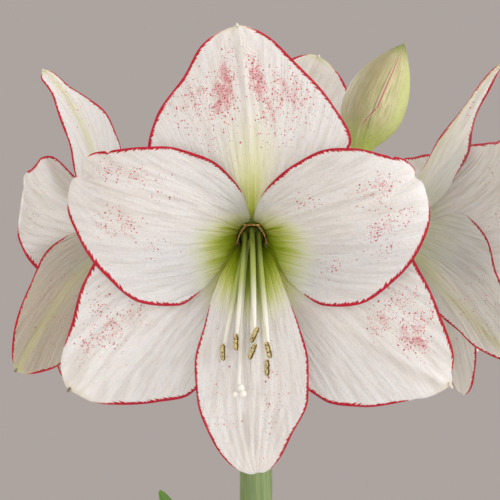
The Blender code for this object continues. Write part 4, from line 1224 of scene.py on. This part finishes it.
def stalk_rings(ovary, forward, places, knots, sides):
    """The end and the rings of a pedicel from a foot at zero, with its three-lobed ovary and what follows.

    It goes up and over to the ovary in the bloom's direction. knots hold distance past the ovary's foot,
    radius and depth of the lobes, and places are the distances that get a ring.
    """
    reach, rise = 0.45 * np.linalg.norm(ovary), np.array((0, 0, 2))
    curve = bezier(rise, rise + (0, 0, reach), ovary - forward * reach, ovary, np.linspace(0, 1, 36))
    path = np.concatenate([np.zeros((1, 3)), curve, ovary + np.outer(places, forward)])
    plain = np.ones(len(path) - len(places))
    radii = np.concatenate([plain * PEDICEL_RADIUS, eased(places, knots)])
    lobes = np.concatenate([plain * 0, eased(places, knots, 2)])
    return path[-1], tube_rings(path, radii, sides, lambda k, angle: 1 + lobes[k] * np.cos(3 * angle))


def make_stalk(bloom, look):
    """Pedicel, three-lobed ovary and perianth tube, with the well that holds the stamens."""
    azimuth = math.radians(bloom.azimuth)
    forward = np.array((math.sin(azimuth), -math.cos(azimuth), 0))
    foot = pedicel_foot(bloom.pedicel)
    ovary = np.array(bloom.throat) + (0, 0, BLOOM_ROW) - forward * (TUBE_LENGTH + OVARY_LENGTH) - foot
    rim = TUBE_LENGTH + OVARY_LENGTH - TUBE_RIM_DROP
    knots = (
        (0, PEDICEL_RADIUS, 0), (3, 5.2, 0.06), (8, OVARY_RADIUS, 0.1), (13, OVARY_RADIUS - 0.6, 0.08),
        (17, 4.9, 0.03), (24, 5.6, 0.02), (31, 7.6, 0), (36, 9.3, 0), (rim, TUBE_RIM_RADIUS, 0),
    )
    mouth, rings = stalk_rings(ovary, forward, np.linspace(0.8, rim, 56), knots, SIDES["stalk"])
    around = unit(rings[-1] - mouth) * WELL_RADIUS
    rings += [mouth + around, mouth - forward * WELL_DEPTH + around]
    inside = np.repeat(np.arange(len(rings)) > len(rings) - 5, SIDES["stalk"])
    shape = Shape()
    add_rings(shape, rings, lambda points: points + foot, inside=inside)
    shape.build(f"fine_{bloom.name}_stalk", "stalk", look, f"{bloom.name}_stalk")


def bud_paint():
    """Olive on one side and fresher green on the other, partly its own colours and partly painted shade
    and painted light, with pale edges flushed red along the seams.
    """
    p = Paint(
        "bud", Subsurface_Weight=0.15, Subsurface_Scale=0.002, Subsurface_Radius=EVEN_RADIUS,
        Specular_IOR_Level=0.45,
    )
    place, along, seam = p.place(), p.value("along"), p.value("seam")
    round_x, round_y = p.around(7.0)
    streak = p.noise(p.joined(round_x, round_y, p.times(along, 3.0)), 2.4, 4)
    cloud = p.noise(place, 45.0)
    distance, random = p.cells(place, 620.0)
    speck = p.times(p.step(distance, 0.2, 0.4, 0.6, 0), p.math("GREATER_THAN", random[0], 0.7))
    flush = p.times(p.step(seam, 0.55, 0.85), p.step(along, 0.16, 0.3))
    # round_y paints one side darker olive and the other fresher green: partly the bud's own colours, partly
    # painted shade on the olive side and painted light on the green side
    colour = p.layers(
        (0.48, 0.46, 0.22), ((streak, 0.35, 0.65), (0.70, 0.69, 0.38)),
        ((cloud, 0.4, 0.7, 0, 0.5), (0.50, 0.46, 0.24)), ((round_y, -5.0, 1.0, 0.55, 0), (0.40, 0.35, 0.20)),
        ((round_y, 2.5, 6.5, 0, 0.75), (0.62, 0.72, 0.26)), ((along, 0.04, 0.38, 0.9, 0), (0.58, 0.72, 0.16)),
        ((along, 0.86, 1.0, 0, 0.85), (0.26, 0.38, 0.06)), (speck, (0.56, 0.30, 0.22)),
        ((seam, 0.15, 0.6, 0, 0.7), (0.76, 0.72, 0.50)), (flush, (0.50, 0.17, 0.14)),
    )
    return p.finish(colour, (cloud, 0.3, 0.7, 0.4, 0.55), streak, 0.0008)


def make_bud(bud_look, stalk_look):
    """The closed bud, whose outer tepals overlap along seams, and its stalk and ovary."""
    row, foot = np.array((0, 0, BLOOM_ROW)), pedicel_foot(BUD_PEDICEL)
    start, after = bezier(*BUD_LINE, BUD_SHARES[:2]) + row - foot
    forward = unit(after - start)
    ovary = start - forward * (OVARY_LENGTH + GAP)
    knots = (
        (0, PEDICEL_RADIUS, 0), (3, 5.2, 0.06), (7.5, OVARY_RADIUS, 0.1), (12.75, 5.8, 0.06),
        (OVARY_LENGTH, 5.2, 0),
    )
    rings = stalk_rings(ovary, forward, np.linspace(0.75, OVARY_LENGTH, 20), knots, SIDES["bud_stalk"])[1]
    shape = Shape()
    add_rings(shape, rings, lambda points: points + foot)
    shape.build("fine_bud_stalk", "stalk", stalk_look, "bud_stalk")

    shares, angle = np.linspace(0, 1, 90), ring_angles(SIDES["bud"])
    line = bezier(*BUD_LINE, shares) + row

    def before_seam(k):
        """How far round each point is from the next seam, which swings aside low on the bud."""
        swing = BUD_SEAM_SWING * max(0.0, (BUD_SEAM_LOW - shares[k]) / BUD_SEAM_LOW)
        return np.min([(math.radians(seam - swing) - angle) % (2 * math.pi) for seam in BUD_SEAMS], axis=0)

    def profile(k, angle):
        swell = math.sin(math.pi * shares[k])
        ribs = 0.004 * np.cos(angle * 21) * swell
        overlap = np.exp(-before_seam(k) / 0.3)
        return 1 + BUD_LOBE * swell * np.cos(3 * angle) + 0.045 * (overlap - 0.4) * min(1, swell * 2.5) + ribs

    rings = tube_rings(line, eased(shares, tuple(zip(BUD_SHARES, BUD_RADII))), SIDES["bud"], profile)
    past = np.concatenate([before_seam(k) for k in range(len(rings))])
    seam = np.maximum(hump(past, 0.085), 0.5 * np.exp(-past / 0.13))
    shape = Shape()
    add_rings(shape, rings, seam=seam)
    tip, forward = line[-1], unit(line[-1] - line[-4])
    for degrees in BUD_TIPS:
        lean = turned(np.array((0.25, 0, 0)), degrees)
        horn = tip + np.outer(np.linspace(-2.5, 2.2, 8), forward + lean)
        add_tube(shape, horn, 0.9 * np.linspace(1, 0.35, 8), SIDES["horn"], seam=0.5)
    shape.build("fine_bud", "bud", bud_look, "bud")


def make_scape(look):
    """The scape from its socket in the bulb to the widened top that carries the umbel."""
    foot = NECK_TOP - SOCKET_DEPTH + GAP
    knots = (
        (foot, SCAPE_FOOT_RADIUS), (foot + 60, 10.2), (foot + 150, 9.8), (SCAPE_TOP - 26, SCAPE_RADIUS),
        (SCAPE_TOP - 12, SCAPE_RADIUS + 0.6), (SCAPE_TOP - 4, UMBEL_RADIUS), (SCAPE_TOP, UMBEL_RADIUS - 0.2),
    )
    heights = np.concatenate([np.arange(foot, SCAPE_TOP - 30, 3.0), np.linspace(SCAPE_TOP - 30, SCAPE_TOP, 24)])
    profile = [(AXIS_RADIUS, foot), *zip(eased(heights, knots), heights), (AXIS_RADIUS, SCAPE_TOP)]
    points = turned_points(
        profile, SIDES["scape"],
        lambda angle, radius, height: 0.12 * np.cos(2 * angle + height / 90) * min(radius / 9, 1),
    )
    shape = Shape()
    add_rings(shape, points.reshape(len(profile), -1, 3))
    shape.build("fine_scape", "scape", look, "scape")


def leaf_paint():
    """Glossy green with parallel veins, paler towards the foot."""
    p = Paint("leaf", Specular_IOR_Level=0.5, Coat_Weight=0.12, Subsurface_Weight=0.08, Subsurface_Scale=0.002)
    where, across, share = p.vector("where"), p.value("across"), p.value("share")
    streak = p.noise(where, (0.9, 0.02, 1))
    fine = p.noise(where, (2.0, 0.03, 1), 1)
    cloud = p.noise(where, (0.06, 0.02, 1))
    spray = p.noise(where, 1.6, 2)
    colour = p.layers(
        (0.055, 0.135, 0.022), ((streak, 0.35, 0.65), (0.10, 0.215, 0.04)),
        ((fine, 0.5, 0.75, 0, 0.5), (0.16, 0.28, 0.07)), ((cloud, 0.45, 0.75, 0, 0.5), (0.13, 0.22, 0.035)),
        ((p.math("ABSOLUTE", across), 0.0, 0.14, 0.45, 0), (0.19, 0.31, 0.09)),
        ((share, 0.0, 0.16, 0.85, 0), (0.42, 0.47, 0.22)), ((share, 0.9, 1.0, 0, 0.8), (0.17, 0.37, 0.05)),
    )
    return p.finish(colour, (cloud, 0.3, 0.7, 0.3, 0.45), p.plus(fine, p.times(spray, 0.2)), 0.0005)


def make_strap(kind, k, sheet, thickness, foot, number, look):
    """One leaf or bract, whose foot stands at that height."""
    shape = Shape()

    def place(points):
        return turned(points, sheet.blade.direction) + (0, 0, foot)

    add_skin(shape, sheet, thickness, place, number)
    shape.build(f"fine_{kind}_{k + 1}", kind, look, f"{kind}_{k + 1}")


def make_leaves(look):
    for k, blade in enumerate(LEAVES):
        relief = Relief(
            keel=((0, 0, -1.4), (0.9, 0, -0.9), (1, 0, 0)), keel_width=4.0, ribs=0.1, ruffle=(1.6, 1.6),
            waves=1.7 + 0.3 * k, phase=1.3 * k,
        )
        sheet = blade_sheet(blade, *LEAF_GRID, relief)
        thickness = LEAF_THICKNESS * (0.35 + 0.65 * hump(sheet.across, 0.6))
        make_strap("leaf", k, sheet, thickness, NECK_TOP + 2 * GAP, k, look)


def bract_paint():
    """Dry, papery and tan, with fine ribs and darker blotches."""
    p = Paint("bract", Specular_IOR_Level=0.3, Subsurface_Weight=0.2, Subsurface_Scale=0.002)
    where, across, share = p.vector("where"), p.value("across"), p.value("share")
    along, number = p.split(where)[1:3]
    streak = p.noise(p.joined(p.times(across, 10.0), along, number), (1.6, 0.05, 1), 4)
    blotch = p.noise(where, 0.15, 4)
    colour = p.layers(
        (0.36, 0.24, 0.12), ((streak, 0.35, 0.65), (0.58, 0.44, 0.28)),
        ((blotch, 0.5, 0.7, 0, 0.7), (0.22, 0.12, 0.05)), ((share, 0.0, 0.3, 0.7, 0), (0.42, 0.44, 0.20)),
    )
    return p.finish(colour, (blotch, 0.3, 0.7, 0.55, 0.8), streak, 0.0012)


def make_bracts(look):
    for k, blade in enumerate(BRACTS):
        relief = Relief(keel=((0, 0, 0), (1, 0, 0.6)), ribs=0.35, ruffle=(1.4, 1.1), waves=2.2, phase=k)
        sheet = blade_sheet(blade, *BRACT_GRID, relief)
        thickness = np.full(sheet.x.shape, BRACT_THICKNESS)
        make_strap("bract", k, sheet, thickness, SCAPE_TOP - 2.5, FIRST_BRACT_NUMBER + k, look)


def bulb_paint():
    """Brown papery skin with lengthwise ridges, paler towards the neck."""
    p = Paint("bulb", Specular_IOR_Level=0.35)
    place = p.place()
    streak = p.noise(place, (260, 260, 26), 5, 0.6)
    fine = p.noise(place, (900, 900, 70))
    flake = p.noise(place, 42.0, 5, 0.65)
    neck = p.plus(p.split(place)[2], p.times(p.minus(flake, 0.5), 0.03))
    colour = p.layers(
        (0.17, 0.075, 0.028), ((streak, 0.35, 0.65), (0.40, 0.215, 0.095)),
        ((fine, 0.5, 0.75, 0, 0.6), (0.52, 0.33, 0.17)), ((flake, 0.52, 0.6, 0, 0.7), (0.105, 0.048, 0.02)),
        ((neck, 0.146, 0.166, 0, 0.75), (0.50, 0.42, 0.24)),
    )
    height = p.plus(streak, p.plus(p.times(flake, 1.2), p.times(fine, 0.3)))
    return p.finish(colour, (flake, 0.35, 0.65, 0.48, 0.8), height, 0.0013)


def make_bulb(look):
    """The bulb with its ridged skin, torn layers and a ragged sheath round the leaves' feet."""
    socket = SCAPE_FOOT_RADIUS + GAP + 0.2
    skin = (
        (0, AXIS_RADIUS, BULB_BOTTOM), (0.1, 14, BULB_BOTTOM), (0.24, 30, BULB_BOTTOM + 8),
        (0.42, BULB_RADIUS - 2.5, BULB_WAIST - 14), (0.53, BULB_RADIUS, BULB_WAIST),
        (0.65, BULB_RADIUS - 3, BULB_WAIST + 14), (0.77, NECK_RADIUS + 7, BULB_WAIST + 28),
        (0.88, NECK_RADIUS + 1, NECK_TOP - 16), (1, NECK_RADIUS, NECK_TOP),
    )
    shares = np.linspace(0, 1, 110)
    profile = [*zip(eased(shares, skin), eased(shares, skin, 2))] + [
        (NECK_RADIUS - 0.8, NECK_TOP + 3), (NECK_RADIUS - 1.6, NECK_TOP + 6), (NECK_RADIUS - 2.4, NECK_TOP + 6),
        (NECK_RADIUS - 3.0, NECK_TOP + 3), (NECK_RADIUS - 3.4, NECK_TOP), (socket, NECK_TOP),
        (socket, NECK_TOP - SOCKET_DEPTH), (AXIS_RADIUS, NECK_TOP - SOCKET_DEPTH),
    ]

    def swell(angle, radius, height):
        if radius < NECK_RADIUS - 4:
            return 0 * angle
        ring = np.stack([np.cos(angle) * 9, np.sin(angle) * 9, np.full_like(angle, height / 26)], 1)
        torn = crumple(ring * (0.35, 0.35, 0), 1.0, 7.0)
        outer, second = (
            1 / (1 + np.exp((height - end - ragged * edge) / 0.7))
            for (end, ragged), edge in ((OUTER_SKIN, torn), (SECOND_SKIN, torn[::-1]))
        )
        return 0.45 * crumple(ring, 1.0) + 0.8 * outer + 0.5 * second - 1.0

    points = turned_points(profile, SIDES["bulb"], swell)
    ragged = points[:, 2] > NECK_TOP + 1
    points[ragged, 2] += 3.2 * crumple(points[ragged] * (1, 1, 0), 4.0, 2.0)
    shape = Shape()
    shape.add(points, tube_faces(len(profile), SIDES["bulb"]))
    shape.build("fine_bulb", "bulb", look, "bulb")


def soil_paint():
    """Dark crumbly potting mix with paler fibres and bits."""
    p = Paint("soil", Specular_IOR_Level=0.25)
    place = p.place()
    distance, random = p.cells(place, 420.0)
    cloud, grit = p.noise(place, 70.0, 4), p.noise(place, 1500.0)
    colour = p.layers(
        (0.022, 0.013, 0.008), (random[0], (0.085, 0.052, 0.030)),
        ((cloud, 0.45, 0.7, 0, 0.6), (0.045, 0.026, 0.014)),
        (p.math("GREATER_THAN", random[1], 0.965), (0.34, 0.26, 0.17)),
    )
    height = p.plus(p.times(distance, -1.0), p.times(grit, 0.5))
    return p.finish(colour, (cloud, 0.3, 0.7, 0.82, 0.97), height, 0.002)


def pot_inner_radius(height):
    share = (height - POT_FLOOR) / (POT_HEIGHT - POT_FLOOR)
    return POT_BASE_RADIUS - POT_WALL + share * (POT_BODY_RADIUS - POT_BASE_RADIUS)


def soil_height(x, y):
    """Height of the soil's crumbly top."""
    return SOIL_TOP + sum(size * noise.noise(Vector((x, y, 0)) / lump) for size, lump in SOIL_LUMPS)


def make_soil(look):
    """Soil that fills the pot round the bulb, with loose crumbs on top."""
    rim, bottom = (pot_inner_radius(height) - GAP - 0.4 for height in (SOIL_TOP, POT_FLOOR))
    profile = [
        (AXIS_RADIUS, POT_FLOOR + GAP), (bottom, POT_FLOOR + GAP),
        *((rim * share, SOIL_TOP) for share in np.linspace(1, 0.6, 26)),
        (BULB_RADIUS - 1, BULB_WAIST - 10), (30, BULB_BOTTOM + 6), (AXIS_RADIUS, BULB_BOTTOM - 1),
    ]
    points = turned_points(profile, SIDES["soil"])
    for point in points:
        if point[2] == SOIL_TOP:
            point[2] = soil_height(point[0], point[1])
    shape = Shape()
    shape.add(points, tube_faces(len(profile), SIDES["soil"]))
    corners, faces = ball()
    rng = np.random.default_rng(CRUMB_SEED)
    for k in range(CRUMBS):
        angle, far = rng.uniform(0, 2 * math.pi), rng.uniform(BULB_RADIUS + 1.5, rim - 3)
        x, y = far * math.cos(angle), far * math.sin(angle)
        size = rng.uniform(*(SMALL_CRUMB if k % 9 else LARGE_CRUMB))
        stretch = rng.uniform(0.55, 1.3, 3)
        lump = corners * (1 + 0.35 * crumple(corners, 0.7, 3.0 * k))[:, None] * stretch
        lump = turned(lump, rng.uniform(0, 360)) * size
        shape.add(lump + (x, y, soil_height(x, y) + 0.25 * size), faces)
    shape.build("fine_soil", "soil", look, "soil")


def ball():
    """Points and faces of the small ball that crumbs are made from."""
    mesh, made = bpy.data.meshes.new("crumb"), bmesh.new()
    bmesh.ops.create_icosphere(made, subdivisions=2, radius=1.0)
    made.to_mesh(mesh)
    made.free()
    points = np.array([vertex.co[:] for vertex in mesh.vertices])
    faces = [list(face.vertices) for face in mesh.polygons]
    bpy.data.meshes.remove(mesh)
    return points, faces


def pot_paint():
    """Plain fired clay with turning marks, darker patches and pale mineral bloom."""
    p = Paint("pot", Specular_IOR_Level=0.3)
    place = p.place()
    z = p.split(place)[2]
    rings = p.noise(p.joined(0.0, 0.0, p.times(z, 700.0)), 1.0)
    cloud, bloom = p.noise(place, 22.0, 5, 0.6), p.noise(place, 55.0, 6, 0.7)
    grain = p.noise(place, 1600.0)
    distance, random = p.cells(place, 520.0)
    pits = p.times(p.math("GREATER_THAN", random[0], 0.93), p.step(distance, 0.2, 0.35, 0.6, 0))
    ends = p.plus(p.step(z, 0.0, 0.05, 0.55, 0.0), p.step(z, 0.10, 0.13, 0.0, 0.35))
    colour = p.layers(
        (0.47, 0.185, 0.088), ((cloud, 0.35, 0.65), (0.60, 0.27, 0.145)),
        ((rings, 0.4, 0.7, 0, 0.3), (0.40, 0.15, 0.07)), ((grain, 0.55, 0.75, 0, 0.5), (0.66, 0.36, 0.22)),
        (pits, (0.22, 0.09, 0.05)), (p.times(p.step(bloom, 0.5, 0.68), p.plus(ends, 0.08)), (0.72, 0.60, 0.50)),
    )
    height = p.plus(p.times(rings, 0.6), p.times(grain, 0.5))
    return p.finish(colour, (cloud, 0.3, 0.7, 0.78, 0.92), height, 0.0005)


def make_pot(look):
    """A plain turned clay pot with a rim band and three drain holes."""
    band = POT_HEIGHT - POT_RIM_HEIGHT
    knots = (
        (AXIS_RADIUS, 0), (POT_BASE_RADIUS, 0), (POT_BODY_RADIUS - 1.5, band), (POT_RIM_RADIUS, band + 1),
        (POT_RIM_RADIUS, POT_HEIGHT), (pot_inner_radius(POT_HEIGHT), POT_HEIGHT),
        (pot_inner_radius(POT_FLOOR), POT_FLOOR), (AXIS_RADIUS, POT_FLOOR),
    )
    profile = fine_profile(rounded(knots, 2.6, 5), 4.0)
    shape = Shape()
    shape.add(turned_points(profile, SIDES["pot"]), tube_faces(len(profile), SIDES["pot"]))
    pot = shape.build("fine_pot", "pot", look, "pot")
    for degrees in DRAIN_ANGLES:
        cut_drain(pot, math.radians(degrees))
    pot.data.shade_smooth()
    pot.data.set_sharp_from_angle(angle=math.radians(50))


def cut_drain(pot, angle):
    """Cuts a drain hole through the pot's floor, that far round it."""
    outline = ((DRAIN_RADIUS, -5.0), (DRAIN_RADIUS, POT_FLOOR + 5))
    middle = np.array((DRAIN_RING * math.cos(angle), DRAIN_RING * math.sin(angle), 0))
    mesh = bpy.data.meshes.new("drain")
    points = (turned_points(outline, SIDES["drain"]) + middle) * MM
    mesh.from_pydata(points.tolist(), [], tube_faces(2, SIDES["drain"]))
    cutter = bpy.data.objects.new("drain", mesh)
    bpy.context.scene.collection.objects.link(cutter)
    modifier = pot.modifiers.new("Cut", "BOOLEAN")
    modifier.operation, modifier.solver, modifier.object = "DIFFERENCE", "EXACT", cutter
    graph = bpy.context.evaluated_depsgraph_get()
    cut = bpy.data.meshes.new_from_object(pot.evaluated_get(graph))
    pot.modifiers.clear()
    pot.data = cut
    bpy.data.objects.remove(cutter, do_unlink=True)


def pistil_paint():
    """Green at the foot and white towards the stigma."""
    p = Paint(
        "pistil", Subsurface_Weight=0.35, Subsurface_Scale=0.001, Subsurface_Radius=EVEN_RADIUS,
        Specular_IOR_Level=0.4,
    )
    along, mottle = p.value("along"), p.noise(p.place(), 1800.0)
    colour = p.layers(
        (0.45, 0.50, 0.16), ((along, 0.2, 0.7), (0.84, 0.84, 0.79)), ((along, 0.97, 1.0), (0.90, 0.89, 0.84)),
        ((mottle, 0.5, 0.8, 0, 0.3), (0.74, 0.72, 0.64)),
    )
    return p.finish(colour, (mottle, 0.3, 0.7, 0.35, 0.55), mottle, 0.0002)


def floor_paint():
    """Pale and faintly mottled."""
    p = Paint("floor", Specular_IOR_Level=0.2)
    mottle = p.noise(p.place(), 3.0, 4)
    colour = p.mix(mottle, (0.56, 0.53, 0.50), (0.60, 0.57, 0.54))
    return p.finish(colour, (mottle, 0.3, 0.7, 0.75, 0.9), mottle, 0.0003)


def make_stage():
    """A plain pale floor, a pale surrounding and large soft lights."""
    size = FLOOR_HALF_SIZE
    mesh = bpy.data.meshes.new("floor")
    corners = [(-size, -size, 0), (size, -size, 0), (size, size, 0), (-size, size, 0)]
    mesh.from_pydata(corners, [], [(0, 1, 2, 3)])
    mesh.materials.append(floor_paint())
    floor = bpy.data.objects.new("floor", mesh)
    bpy.context.scene.collection.objects.link(floor)
    world = bpy.data.worlds.new("studio")
    world.use_nodes = True
    world.node_tree.nodes["Background"].inputs["Color"].default_value = (*WALL_COLOUR, 1)
    bpy.context.scene.world = world
    for name, settings in LIGHTS.items():
        add_light(name, *settings)


def add_light(name, place, size, power, colour):
    """A square soft light that looks at the blooms."""
    data = bpy.data.lights.new(name, "AREA")
    data.size, data.energy, data.color = size, power, colour
    light = bpy.data.objects.new(name, data)
    light.location = place
    towards = Vector(LIGHTS_AIM) - Vector(place)
    light.rotation_euler = towards.to_track_quat("-Z", "Y").to_euler()
    bpy.context.scene.collection.objects.link(light)


def make_camera():
    data = bpy.data.cameras.new("camera")
    data.lens, data.sensor_width = CAMERA_LENS, CAMERA_SENSOR
    data.clip_start, data.clip_end = CAMERA_CLIP
    camera = bpy.data.objects.new("camera", data)
    camera.location = CAMERA_PLACE
    camera.rotation_euler = (math.radians(90), 0, 0)
    bpy.context.scene.collection.objects.link(camera)
    bpy.context.scene.camera = camera
    bpy.context.scene.view_settings.view_transform = "Standard"


def main():
    make_camera()
    make_stage()
    make_pot(pot_paint())
    make_soil(soil_paint())
    make_bulb(bulb_paint())
    make_scape(stem_paint("scape", (0.17, 0.26, 0.085), (0.26, 0.36, 0.13)))
    make_leaves(leaf_paint())
    make_bracts(bract_paint())
    stalk_look = stem_paint("stalk", (0.22, 0.33, 0.08), (0.34, 0.44, 0.14), (0.62, 0.64, 0.36))
    make_bud(bud_paint(), stalk_look)
    tepal_look, fringe_look, pistil_look = tepal_paint(), fringe_paint(), pistil_paint()
    filament_look, anther_look = filament_paint(), anther_paint()
    for k, bloom in enumerate(BLOOMS):
        make_stalk(bloom, stalk_look)
        for number, name in enumerate(bloom.blades):
            make_tepal(bloom, name, 10 * k + number, tepal_look)
        make_fringe(bloom, fringe_look)
        make_stamens(bloom, filament_look, anther_look)
        make_pistil(bloom, pistil_look)


main()
